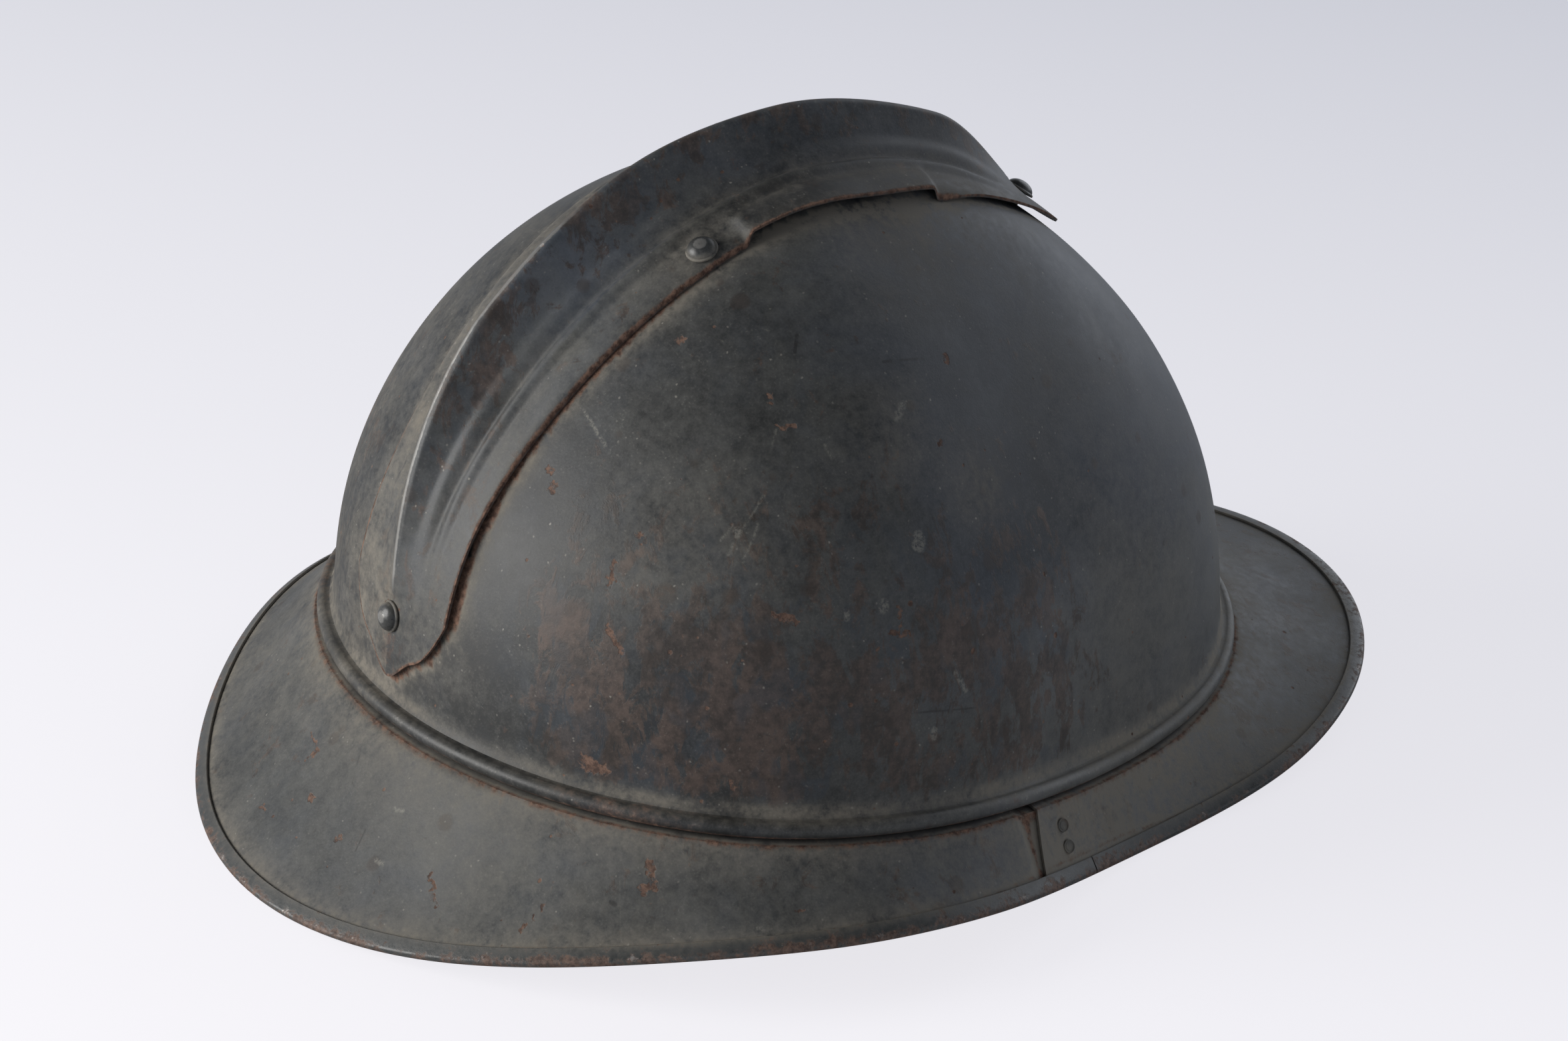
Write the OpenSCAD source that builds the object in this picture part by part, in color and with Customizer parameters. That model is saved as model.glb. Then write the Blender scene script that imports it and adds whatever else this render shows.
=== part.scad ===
// Pressed steel helmet with a riveted crest, a front visor, a neck guard, a leather
// liner on corrugated spacers and a chin strap. Millimetres. +Z is up, -Y is the front,
// -X is the wearer's right. The origin lies on the table, under the middle of the brim.
// Outlines are given at six places, 36 degrees apart, from straight back to straight
// front, and the curve between them is smooth and the same on both sides.

/* [Brim edge, reach from the bowl's centre] */
// Straight back
brim_back = 135; // [130:0.5:140]
// 36 degrees round from the back
brim_back_quarter = 126.5; // [123:0.5:130]
// 72 degrees round
brim_back_side = 114.5; // [112:0.5:117]
// 108 degrees round
brim_front_side = 96.5; // [95:0.5:99]
// 144 degrees round
brim_front_quarter = 126.5; // [123:0.5:130]
// Straight front
brim_front = 155; // [150:0.5:160]

/* [Brim edge, height] */
// Straight back
brim_back_z = 0; // [-2:0.5:2]
// 36 degrees round from the back
brim_back_quarter_z = 8.5; // [6:0.5:11]
// 72 degrees round
brim_back_side_z = 13.5; // [12:0.5:15]
// 108 degrees round
brim_front_side_z = 1.5; // [0:0.5:3]
// 144 degrees round
brim_front_quarter_z = 4; // [2:0.5:6]
// Straight front
brim_front_z = 10.5; // [8:0.5:13]

/* [Bowl bead, reach from the bowl's centre] */
// Straight back
bead_back = 101.5; // [98:0.5:105]
// 36 degrees round from the back
bead_back_quarter = 103; // [100:0.5:106]
// 72 degrees round
bead_back_side = 99.5; // [97:0.5:101]
// 108 degrees round
bead_front_side = 87.5; // [86:0.5:89]
// 144 degrees round
bead_front_quarter = 102; // [99:0.5:105]
// Straight front
bead_front = 116; // [112:0.5:120]

/* [Bowl bead, height] */
// Straight back
bead_back_z = 32.5; // [30:0.5:35]
// 36 degrees round from the back
bead_back_quarter_z = 32; // [30:0.5:34]
// 72 degrees round
bead_back_side_z = 28.5; // [27:0.5:30]
// 108 degrees round
bead_front_side_z = 18.5; // [17:0.5:20]
// 144 degrees round
bead_front_quarter_z = 16.5; // [15:0.5:18]
// Straight front
bead_front_z = 21; // [19:0.5:23]

/* [Bowl] */
// How far the bowl's centre lies behind the middle of the brim
bowl_y = 10; // [6:0.5:14]
// Height of the top of the bowl
bowl_top = 142; // [138:0.5:148]
// Fullness of the bowl's walls, less is fuller
bowl_flank = 1.36; // [1.25:0.01:1.42]
// Fullness of the bowl's crown, less is fuller
bowl_crown = 1.14; // [1.05:0.01:1.25]
// How soon the walls turn in over the bead, less is later
bowl_rise = 0.925; // [0.88:0.005:0.97]
// Thickness of the bowl and brim sheet
steel_t = 0.7; // [0.5:0.1:1]
// Thickness of the rolled bead round the bowl's mouth
bead_d = 3.6; // [3.2:0.1:4]
// How far the bead stands out from the wall
bead_out = 4; // [4:0.1:5]
// Height of the wall's foot over the underside of the bead
bead_up = 4; // [4:0.1:5]

/* [Brim] */
// How far the brim sags below a straight line to its edge
brim_flare = 1.2; // [0:0.1:2]
// Height of the collar that holds the brim inside the bowl
collar_h = 5; // [4:0.5:6]
// Clearance between sheets that lie against each other
lap_gap = 0.15; // [0.1:0.05:0.3]
// Place of the visor's rear edge at the brim's rim, from the back
seam_at = 92.5; // [90:0.5:95]
// How far the seam leans forward at the bowl
seam_lean = 2.5; // [0:0.5:4]
// Length of the neck guard's tongue under the visor, round the brim
tongue_turn = 14; // [12:0.5:16]

/* [Edge strip] */
// Width of the folded strip on the brim
strip_w = 3.9; // [3.4:0.1:5.4]
// Thickness of the strip
strip_t = 0.5; // [0.4:0.1:0.6]
// Clearance between the strip and the sheet in it
strip_gap = 0.15; // [0.1:0.05:0.3]
// Place of the strip's butt joint on the wearer's right, from the back
strip_joint = 103.5; // [100:0.5:120]
// Gap at the butt joint
strip_joint_gap = 0.4; // [0.2:0.1:0.8]

/* [Crest] */
// Where the crest starts, as an angle over the bowl from the back
crest_start = 6.5; // [6:0.5:9]
// Where the crest ends, over the front
crest_end = 132; // [130:0.5:134]
// Half the crest's width at its back
crest_half_back = 18.8; // [17:0.5:20]
// Half the crest's width at its middle
crest_half_mid = 24.4; // [23:0.2:26]
// Half the crest's width near its front
crest_half_front = 19; // [17:0.5:21]
// Height of the comb over the bowl, towards the back
comb_back = 13.6; // [11:0.2:15]
// Height of the comb over the bowl, from the top to the front
comb_front = 11; // [9:0.2:13]
// Half the width of the comb's foot
comb_foot = 10; // [8:0.5:11]
// Half the width of the comb's rounded top
comb_ridge = 1.3; // [1:0.1:1.8]
// Height of the flange's outer face over the bowl
flange_h = 2; // [1.8:0.1:2.6]
// Its height at the crest's back end
flange_back_h = 1.4; // [1.2:0.1:1.8]
// How far the crest's front end stands up from the bowl
front_lift = 1; // [0:0.2:2]
// Height of the two soft flutes on each side
flute_h = 1.1; // [0.6:0.1:1.5]
// Thickness of the crest's sheet
crest_t = 0.6; // [0.5:0.1:0.8]
// Gap between the crest's edge and the bowl
crest_gap = 0.3; // [0.2:0.05:0.4]
// Opening of the raised vent gaps at the crest's sides
vent_gap = 2.5; // [2:0.1:3.5]
// Where the vent gaps start, over the bowl from the back
vent_start = 76; // [75:0.5:80]
// Where the vent gaps end
vent_end = 104.5; // [101:0.5:106]
// Length of the vent slot in the bowl, under the crest
vent_slot_l = 42; // [30:1:46]
// Width of the vent slot
vent_slot_w = 14; // [10:1:16]

/* [Crest rivets] */
// Diameter of a rivet's head
rivet_head_d = 7; // [6:0.1:7.5]
// Height of a rivet's head
rivet_head_h = 2.4; // [2:0.1:3]
// Diameter of a rivet's shank
rivet_d = 3; // [2.5:0.1:3.5]
// Clearance between a rivet and its hole, on the radius
rivet_gap = 0.1; // [0.05:0.05:0.2]
// Place of the back rivet, over the bowl from the back
rivet_back_at = 14.5; // [12:0.5:16]
// Place of the right side rivet
rivet_side_at = 71.8; // [70:0.2:73]
// How far the left side rivet and the left vent gap lie ahead of the right ones
left_ahead = 16.5; // [12:0.5:18]
// Distance of the side rivets from the crest's edge
rivet_side_in = 4.5; // [4:0.5:6]
// Place of the front rivet
rivet_front_at = 125; // [123:0.5:126]

/* [Brim rivets] */
// How far the seam rivets lie ahead of the visor's rear edge
seam_rivet_on = 7; // [5.5:0.5:8.5]
// Diameter of a seam rivet's flat head
seam_rivet_head_d = 3; // [2.6:0.1:3.4]
// Thickness of its head
seam_rivet_head_h = 0.35; // [0.2:0.05:0.5]
// Diameter of its shank
seam_rivet_d = 1.8; // [1.5:0.1:2]

/* [Liner] */
// Height of the leather band
band_h = 24; // [20:1:28]
// Thickness of the leather
leather_t = 1.4; // [1.2:0.1:1.8]
// Thickness of the felt band
felt_t = 2; // [1.5:0.1:2.5]
// Depth of the corrugated spacers
spacer_d = 4; // [3:0.5:5]
// Thickness of the spacers' sheet
spacer_t = 0.4; // [0.3:0.1:0.6]
// Half the length of a spacer, round the bowl
spacer_half = 27; // [20:1:30]
// Waves in one spacer
spacer_waves = 7; // [5:1:9]
// Gap between layers of the liner
layer_gap = 0.3; // [0.2:0.05:0.4]
// Space between the liner's crown and the bowl's top
crown_space = 20; // [15:1:25]
// Gap between two tongues at their foot
tongue_gap = 2; // [1:0.5:4]
// How far up the crown the tongues reach, as an angle
tongue_reach = 72; // [68:1:75]
// Diameter of the lace that draws the tongues together
lace_d = 2; // [1.5:0.1:2.5]
// Width of a liner clip
clip_w = 9; // [7:0.5:12]
// Thickness of a liner clip
clip_t = 0.5; // [0.4:0.1:0.7]

/* [Strap loops] */
// Radius of the loop's wire
wire_r = 1; // [0.8:0.05:1.2]
// Clear width of a loop
loop_w = 16; // [15.5:0.5:18]
// Height of a loop, between the axes of its bars
loop_h = 10; // [9:0.5:12]
// Bend radius at the loop's corners, on the wire's axis
loop_bend = 2; // [1.5:0.1:2.5]
// Clearance between the wire and the bracket's barrel, on the radius
hinge_gap = 0.07; // [0.03:0.01:0.1]
// Wall of the barrel
barrel_wall = 0.9; // [0.7:0.1:1.1]
// Length of the barrel
barrel_l = 11; // [8:0.5:12]
// How far the hinge lies inside the bead
hinge_in = 4.9; // [4.5:0.1:5.5]
// How far the hinge lies below the bead
hinge_drop = 6.1; // [5.5:0.1:6.5]

/* [Chin strap] */
// Width of the strap
strap_w = 15; // [13:0.5:15]
// Thickness of the strap
strap_t = 1.8; // [1.4:0.1:2]
// Length of the stitched fold past the loop's bar
fold_l = 14; // [12:0.5:16]
// Clearance between the leather and the wire
fold_gap = 0.2; // [0.1:0.05:0.3]
// Gap between the fold's end and the strap's free run
strap_gap = 0.4; // [0.3:0.05:0.5]
// Clearance between the strap and the table
table_gap = 0.2; // [0.1:0.05:0.4]
// Length of the twist from lying flat to standing on edge
twist_l = 40; // [35:1:45]
// Radius of the strap's turn towards the front
turn_r = 24; // [20:1:25]
// Length of its straight run to the front
straight_l = 62; // [54:1:64]

/* [Strap slider] */
// Length of the slider along the strap
slider_l = 14; // [12:0.5:16]
// Thickness of its bars
slider_bar = 1.6; // [1.2:0.1:2]
// Clearance between the slider and the strap
slider_gap = 0.3; // [0.2:0.05:0.4]
// Distance of the slider from the start of the straight run
slider_at = 9; // [8:0.5:12]

/* [Hidden] */

paint = [0.27, 0.29, 0.29];
bare_steel = [0.5, 0.5, 0.48];
alloy = [0.72, 0.73, 0.74];
hide = [0.32, 0.2, 0.12];
strap_hide = [0.26, 0.15, 0.09];
wool = [0.36, 0.35, 0.31];
linen = [0.6, 0.55, 0.44];

// Smooth even curves through values at equal steps from 0 to 180 degrees
function wave_part(v, k) =
    let (n = len(v) - 1)
    (v[0] + v[n] * cos(180 * k) + 2 * sum([for (j = [1:n - 1]) v[j] * cos(180 * k * j / n)]))
        / (k == 0 || k == n ? 2 * n : n);
function waves(v) = [for (k = [0:len(v) - 1]) wave_part(v, k)];
function curve(w, t) =
    w[0] + w[1] * cos(t) + w[2] * cos(2 * t) + w[3] * cos(3 * t) + w[4] * cos(4 * t)
        + w[5] * cos(5 * t);
function sum(v, i = 0) = i >= len(v) ? 0 : v[i] + sum(v, i + 1);
function lerp(a, b, k) = a + (b - a) * k;
function clamp(k) = min(1, max(0, k));
function soft(k) = let (c = clamp(k)) c * c * (3 - 2 * c);
function unit(v) = v / norm(v);
function reverse(v) = [for (i = [len(v) - 1:-1:0]) v[i]];

brim_r_w = waves([brim_back, brim_back_quarter, brim_back_side, brim_front_side,
                  brim_front_quarter, brim_front]);
brim_z_w = waves([brim_back_z, brim_back_quarter_z, brim_back_side_z, brim_front_side_z,
                  brim_front_quarter_z, brim_front_z]);
bead_r_w = waves([bead_back, bead_back_quarter, bead_back_side, bead_front_side,
                  bead_front_quarter, bead_front]);
bead_z_w = waves([bead_back_z, bead_back_quarter_z, bead_back_side_z, bead_front_side_z,
                  bead_front_quarter_z, bead_front_z]);

// Half the outside thickness of the folded strip, which is also its edge radius
strip_r = steel_t / 2 + strip_gap + strip_t;
// Angle steps round the outlines
turn_step = 6;
// Leather tongues round the crown
tongues = 7;
// Place of the seam rivets, round the brim from the back
seam_rivet_at = seam_at + seam_rivet_on;

function bead_r(t) = curve(bead_r_w, t);
function rim_r(t) = curve(brim_r_w, t);

// The brim's slope at turn t, from under the bead at q = 0 to the edge at q = 1
function slope_rest(t, q) =
    let (r0 = bead_r(t) + 0.6, z0 = curve(bead_z_w, t) - 0.8, r1 = rim_r(t) - strip_r,
         z1 = curve(brim_z_w, t) + strip_r + steel_t / 2)
    [lerp(r0, r1, q), lerp(z0, z1, q) - brim_flare * sin(180 * q)];

// The folded strip round the edge, before everything is set down on the table
strip_arc = [90, 60, 30, 0, -30, -60, -90];
function strip_rest(t) =
    let (a = slope_rest(t, 0.86), b = slope_rest(t, 1), e = unit(b - a), n = [-e.y, e.x],
         o = b - steel_t / 2 * n, leg = strip_w - strip_r, core = strip_r - strip_t,
         face = concat([o - leg * e + strip_r * n],
                       [for (k = strip_arc) o + strip_r * (cos(k) * e + sin(k) * n)],
                       [o - leg * e - strip_r * n]),
         inside = concat([o - leg * e + core * n],
                         [for (k = strip_arc) o + core * (cos(k) * e + sin(k) * n)],
                         [o - leg * e - core * n]))
    concat(face, reverse(inside));
strip_half_gap = strip_joint_gap / 2 / rim_r(strip_joint) * 180 / PI;
strip_turns = let (n = 68) [for (k = [0:n])
    lerp(strip_joint + strip_half_gap, strip_joint + 360 - strip_half_gap, k / n)];
// Everything is raised by this so that the lowest point of the strip lies on the table
sit = -min([for (t = strip_turns, p = strip_rest(t)) p.y]);

function bead_z(t) = curve(bead_z_w, t) + sit;
function rim_z(t) = curve(brim_z_w, t) + sit;
function slope_point(t, q) = slope_rest(t, q) + [0, sit];
function slope_l(t) = norm(slope_point(t, 1) - slope_point(t, 0));
function wall_r(t) = bead_r(t) - bead_out;
function foot_z(t) = bead_z(t) + bead_up;
top_z = bowl_top + sit;

// A point at turn t from the back, at reach r and height z
function place(t, r, z) = [-r * sin(t), bowl_y + r * cos(t), z];

// The bowl's surface at turn t and rise s, moved out by g
function dome_r(t, s, g) =
    (wall_r(t) + g) * pow(cos(s), lerp(bowl_flank, bowl_crown, sin(s) * sin(s)));
function dome_z(t, s, g) = foot_z(t) + (top_z + g - foot_z(t)) * pow(sin(s), bowl_rise);
function rise_at(t, z, g) =
    asin(pow(clamp((z - foot_z(t)) / (top_z + g - foot_z(t))), 1 / bowl_rise));
function wall_at(t, z, g) = dome_r(t, rise_at(t, z, g), g);

// How far outside the surface moved out by g the point p lies: 0 on it, less than 0 inside
function outside(p, g) =
    let (q = [p.x, p.y - bowl_y])
    norm(q) - wall_at(atan2(-q.x, q.y), p.z, g) + max(0, p.z - top_z - g);

// Rays over the bowl in its middle plane start here
pole_z = 30 + sit;
function over(a, x, d) = [x, bowl_y + d * cos(a), pole_z + d * sin(a)];
function seek(a, x, g, lo, hi, n) =
    n == 0 ? (lo + hi) / 2
    : let (m = (lo + hi) / 2)
      outside(over(a, x, m), g) > 0 ? seek(a, x, g, lo, m, n - 1) : seek(a, x, g, m, hi, n - 1);
function on_bowl(a, x, g) = over(a, x, seek(a, x, g, 30, 190, 15));
function bowl_normal(p, e = 0.05) = unit([
    outside(p + [e, 0, 0], 0) - outside(p - [e, 0, 0], 0),
    outside(p + [0, e, 0], 0) - outside(p - [0, e, 0], 0),
    outside(p + [0, 0, e], 0) - outside(p - [0, 0, e], 0)]);

// A closed solid over rows of points. Each row is a closed section with an even count,
// listed along one face and back along the other, so that its ends can be capped.
module skin(rows, ring = false) {
    n = len(rows[0]);
    m = len(rows);
    pts = [for (r = rows, p = r) p];
    last = ring ? m - 1 : m - 2;
    sides = [for (j = [0:last], i = [0:n - 1])
        let (a = j * n + i, b = j * n + (i + 1) % n, c = ((j + 1) % m) * n + i,
             d = ((j + 1) % m) * n + (i + 1) % n)
        each [[a, b, d], [a, d, c]]];
    half = n / 2;
    ends = ring ? [] : [for (i = [0:half - 2])
        let (a = i, b = i + 1, c = n - 2 - i, d = n - 1 - i, o = (m - 1) * n)
        each concat([[a, d, c], [a, c, b]], [[o + a, o + c, o + d], [o + a, o + b, o + c]])];
    polyhedron(points = pts, faces = concat(sides, ends));
}

// A path in the (reach, height) plane and the same path moved to its right by d
function along(path, i) =
    unit(path[min(i + 1, len(path) - 1)] - path[max(i - 1, 0)]);
function beside(path, d) =
    [for (i = [0:len(path) - 1]) let (v = along(path, i)) path[i] + d * [v.y, -v.x]];
function sheet(path, d) = concat(path, reverse(beside(path, d)));
function turned(t, section) = [for (p = section) place(t, p[0], p[1])];

module both_sides() {
    children();
    mirror([1, 0, 0]) children();
}

// Bowl: the dome with its rolled bead, turned out from the wall
dome_steps = [0, 2, 5, 10, 17, 25, 33, 41, 49, 57, 65, 73, 81, 86];
bead_arc = [110, 60, 10, -40, -90, -140, 170];
function bowl_profile(t) =
    let (r0 = bead_r(t) - bead_d / 2, z0 = bead_z(t) + bead_d / 2)
    concat(
        [for (s = reverse(dome_steps)) [dome_r(t, s, 0), dome_z(t, s, 0)]],
        [for (a = bead_arc) [r0 + bead_d / 2 * cos(a), z0 + bead_d / 2 * sin(a)]],
        [for (s = dome_steps) [dome_r(t, s, -steel_t), dome_z(t, s, -steel_t)]]);

module bowl_shell() {
    turns = [0:turn_step:359];
    rows = [for (t = turns) turned(t, bowl_profile(t))];
    m = len(rows);
    n = len(rows[0]);
    outer_top = m * n;
    pts = concat([for (r = rows, p = r) p],
                 [place(0, 0, top_z), place(0, 0, top_z - steel_t)]);
    sides = [for (j = [0:m - 1], i = [0:n - 2])
        let (a = j * n + i, b = a + 1, c = ((j + 1) % m) * n + i, d = c + 1)
        each [[a, b, d], [a, d, c]]];
    tops = [for (j = [0:m - 1])
        let (k = (j + 1) % m)
        each [[outer_top, j * n, k * n], [outer_top + 1, k * n + n - 1, j * n + n - 1]]];
    polyhedron(points = pts, faces = concat(sides, tops));
}

vent_mid = over((vent_start + vent_end) / 2, 0, 100).y;
module vent_slot() {
    reach = (vent_slot_l - vent_slot_w) / 2;
    translate([0, vent_mid, top_z - 20]) linear_extrude(40) {
        square([vent_slot_w, 2 * reach], center = true);
        for (k = [-1, 1]) translate([0, k * reach]) circle(d = vent_slot_w, $fn = 48);
    }
}

module bowl() {
    color(paint) difference() {
        bowl_shell();
        vent_slot();
        crest_rivet_holes();
    }
}

// Brim sheets: a collar inside the bowl's mouth, a turn under the bead, then the slope
brim_steps = [0, 0.18, 0.42, 0.66, 0.86, 1];
under_bead = 0.2;
function brim_path(t, reach) =
    let (rc = wall_r(t) - steel_t - lap_gap, zb = bead_z(t))
    concat([[rc, zb + collar_h + 1], [rc, zb + 0.9], [rc + 0.8, zb - under_bead],
            [bead_r(t) - bead_d / 2, zb - under_bead - 0.15]],
           [for (q = brim_steps) slope_point(t, q * reach)]);
function brim_q(i) = i < 4 ? 0 : brim_steps[i - 4];

// The visor's side edges lean: they lie farther forward at the bowl than at the rim
tongue_end = seam_at + tongue_turn;
lap_turns = [for (k = [0.1, 0.25, 0.4, 0.55, 0.7, 0.85, 1]) lerp(seam_at, tongue_end, k)];
module front_visor() {
    right = concat([seam_at], lap_turns, [for (k = [1:12]) lerp(tongue_end, 180, k / 12)]);
    turns = concat(right, [for (i = [len(right) - 2:-1:0]) 360 - right[i]]);
    function lean(t, i) = seam_lean * (1 - brim_q(i)) * max(0, 1 - (t - seam_at) / 6);
    function row(turn) =
        let (s = turn <= 180 ? 1 : -1, near = 180 - abs(180 - turn), n = len(brim_path(near, 1)))
        [for (i = [0:2 * n - 1])
            let (j = i < n ? i : 2 * n - 1 - i, t = turn + s * lean(near, j),
                 pp = brim_path(t, 1), p = i < n ? pp[j] : beside(pp, steel_t)[j])
            place(t, p[0], p[1])];
    color(paint) difference() {
        skin([for (t = turns) row(t)]);
        seam_rivet_holes();
    }
}

// The neck guard dips under the visor at the seam and ends in a tongue that stays clear
// of the strip
dip_start = seam_at - 2.2;
dip_end = seam_at - 0.4;
lap_end_gap = 1;
function dip(t) = soft((t - dip_start) / (dip_end - dip_start)) * (steel_t + lap_gap);
function tongue_trim(t) =
    lerp(1, 1 - (strip_w - strip_r + lap_end_gap) / slope_l(t),
         soft((t - dip_start) / (dip_end - dip_start)));
module neck_guard() {
    right = concat([for (t = [0:turn_step:84]) t],
                   [dip_start, (dip_start + dip_end) / 2, dip_end], lap_turns);
    turns = concat([for (i = [len(right) - 1:-1:1]) -right[i]], right);
    function row(t) =
        let (a = abs(t), p = brim_path(a, tongue_trim(a)), q = beside(p, dip(a)))
        turned(t, concat(q, reverse(beside(p, dip(a) + steel_t))));
    color(paint) difference() {
        skin([for (t = turns) row(t)]);
        seam_rivet_holes();
    }
}

// Folded strip round the brim's edge, open inwards, with one butt joint
module edge_strip() {
    color(paint) skin([for (t = strip_turns)
        turned(t, [for (p = strip_rest(t)) p + [0, sit]])]);
}

// Crest: a sheet over the bowl with a comb, soft flutes, a flat flange and turned edges
crest_lanes = [0, 0.04, 0.1, 0.18, 0.27, 0.36, 0.46, 0.56, 0.66, 0.8, 0.93, 0.98, 1];
// Rows over the bowl: [0, share] from the back end's outline to the first level row,
// [1, angle] level, and [2, share] from the last level row to the front end's outline
crest_level = 26;
joggle = 1.4;
crest_rows = concat(
    [for (k = [0, 0.06, 0.2, 0.4, 0.5, 0.6, 0.8]) [0, k]],
    [for (k = [0:12]) [1, lerp(crest_level, vent_start, k / 12)]],
    [for (k = [0:3]) [1, lerp(vent_start + joggle, vent_start + left_ahead, k / 3)]],
    [for (k = [0:3]) [1, lerp(vent_start + left_ahead + joggle, vent_end - joggle, k / 3)]],
    [[1, vent_end]],
    [for (k = [0.1, 0.2, 0.32, 0.45, 0.58, 0.7, 0.82, 0.92, 0.98, 1]) [2, k]]);
comb_rise_from = 14;
comb_rise_to = 49;
comb_fall_from = 109;
comb_fall_to = 127;
edge_round = 0.12;
function crest_half(a) =
    a < 80 ? lerp(crest_half_back, crest_half_mid, soft((a - 25) / 50))
    : lerp(crest_half_mid, crest_half_front, soft((a - 85) / 30));
// The ends' outlines, as the angle that they take off at a place u across the crest
function back_cut(u) = let (x = abs(u)) 3 * soft(x / 0.5) + 8 * pow(x, 3.5);
function front_cut(u) =
    let (x = abs(u)) (crest_end - vent_end - 1.5) * (1 - pow(1 - pow(x, 1.8), 0.75));
function crest_angle(row, u) =
    row[0] == 0 ? lerp(crest_start + back_cut(u), crest_level, row[1])
    : row[0] == 1 ? row[1]
    : lerp(vent_end, crest_end - front_cut(u), row[1]);
function flange_at(a, u) =
    lerp(flange_back_h, flange_h, soft((a - crest_start) / 25))
        + front_lift * soft((a - vent_end - 8) / 14) * (1 - 0.8 * pow(abs(u), 1.5));
function comb_height(a) = lerp(comb_back, comb_front, soft((a - 70) / 20));
function comb_share(a) =
    let (k = clamp((a - comb_rise_from) / (comb_rise_to - comb_rise_from)))
    (k + soft(k)) / 2 * (1 - soft((a - comb_fall_from) / (comb_fall_to - comb_fall_from)));
function bump(x, c, w) = abs(x - c) > w ? 0 : (1 + cos(180 * (x - c) / w)) / 2;
function relief(a, x, w) =
    let (comb = (comb_height(a) - flange_h) * comb_share(a),
         wall = pow(clamp(1 - (x - comb_ridge) / (comb_foot - comb_ridge)), 1.7),
         round_top = x < comb_ridge ? 1 - 0.05 * pow(x / comb_ridge, 2) : 0.95 * wall,
         fade = soft((a - 16) / 25) * (1 - soft((a - 108) / 16)))
    comb * round_top
        + flute_h * fade * (bump(x, 0.36 * w, 0.13 * w) + bump(x, 0.56 * w, 0.12 * w));
// The crest lies flat under the heads of its four rivets
function rivet_flat(a, x) = min([for (c = crest_rivet_places)
    soft((norm([(a - c[0]) * rivet_arc, x - c[1]]) - rivet_head_d / 2 - 0.6) / 2.5)]);
function vent_share(a, u) =
    soft((a - vent_start - (u > 0 ? left_ahead : 0)) / joggle) * soft((vent_end - a) / joggle)
        * soft((abs(u) - 0.55) / 0.3);
// The edge turns down towards the bowl, except at the crest's back end
function edge_fall(a, u) =
    let (d = clamp((1 - abs(u)) / edge_round))
    1 - soft((a - 25) / 25) * (1 - sqrt(1 - pow(1 - d, 2)));
function crest_height(row, u) =
    let (a = crest_angle(row, u), w = crest_half(a), low = crest_gap + crest_t)
    lerp(low + (flange_at(a, u) - low) * edge_fall(a, u)
             + relief(a, abs(u) * w, w) * rivet_flat(a, u * w),
         vent_gap + low, vent_share(a, u));
function crest_point(row, u, inside) =
    let (a = crest_angle(row, u))
    on_bowl(a, u * crest_half(a), crest_height(row, u) - (inside ? crest_t : 0));
module crest() {
    lanes = concat([for (i = [len(crest_lanes) - 1:-1:1]) -crest_lanes[i]], crest_lanes);
    rows = [for (row = crest_rows)
        concat([for (u = lanes) crest_point(row, u, false)],
               [for (u = reverse(lanes)) crest_point(row, u, true)])];
    color(paint) difference() {
        skin(rows);
        crest_rivet_holes();
    }
}

// The four crest rivets: angle over the bowl and place across
rivet_side_x = crest_half(rivet_side_at) - rivet_side_in;
crest_rivet_places = [[rivet_back_at, 0], [rivet_side_at + left_ahead, rivet_side_x],
                      [rivet_side_at, -rivet_side_x], [rivet_front_at, 0]];
// Millimetres over the crest to one degree over the bowl, near the rivets
rivet_arc = 1.85;
function rivet_seat(place_on) =
    flange_at(place_on[0], place_on[1] / crest_half(place_on[0])) + 0.15;
rivet_tail = 2;
module on_rivet(place_on) {
    p = on_bowl(place_on[0], place_on[1], 0);
    n = bowl_normal(p);
    translate(p) rotate([0, acos(n.z), atan2(n.y, n.x)]) children();
}
module crest_rivet_holes() {
    for (c = crest_rivet_places) on_rivet(c)
        translate([0, 0, -6]) cylinder(h = 14, r = rivet_d / 2 + rivet_gap, $fn = 32);
}
module rivet_head(d, h) {
    r = (d * d / 4 + h * h) / (2 * h);
    rotate_extrude($fn = 40) intersection() {
        translate([0, h - r]) circle(r = r, $fn = 96);
        square([d, h]);
    }
}
module crest_rivets() {
    color(paint) for (c = crest_rivet_places) on_rivet(c) {
        translate([0, 0, rivet_seat(c)]) rivet_head(rivet_head_d, rivet_head_h);
        translate([0, 0, -steel_t - rivet_tail])
            cylinder(h = rivet_seat(c) + steel_t + rivet_tail, r = rivet_d / 2, $fn = 32);
        translate([0, 0, -steel_t - rivet_tail]) cylinder(h = rivet_tail - 0.3, r = rivet_d / 2 + 1,
                                                          $fn = 32);
    }
}

// Seam rivets: two on each side, through visor, tongue and bracket
seam_rivet_q = [0.25, 0.52];
function slope_normal(t, q) =
    let (e = unit(slope_point(t, q + 0.1) - slope_point(t, q - 0.1))) [-e.y, e.x];
bracket_gap = 0.65;
bracket_t = 1;
stack = 2 * steel_t + lap_gap + bracket_gap + bracket_t;
module on_seam(q) {
    s = slope_point(seam_rivet_at, q);
    n = slope_normal(seam_rivet_at, q);
    translate(place(seam_rivet_at, s[0], s[1]))
        rotate([0, 0, 90 + seam_rivet_at]) rotate([0, atan2(n.x, n.y), 0]) children();
}
module seam_rivet_holes() {
    both_sides() for (q = seam_rivet_q) on_seam(q)
        translate([0, 0, -6]) cylinder(h = 12, r = seam_rivet_d / 2 + rivet_gap, $fn = 24);
}
seam_rivet_up = 0.42;
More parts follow.
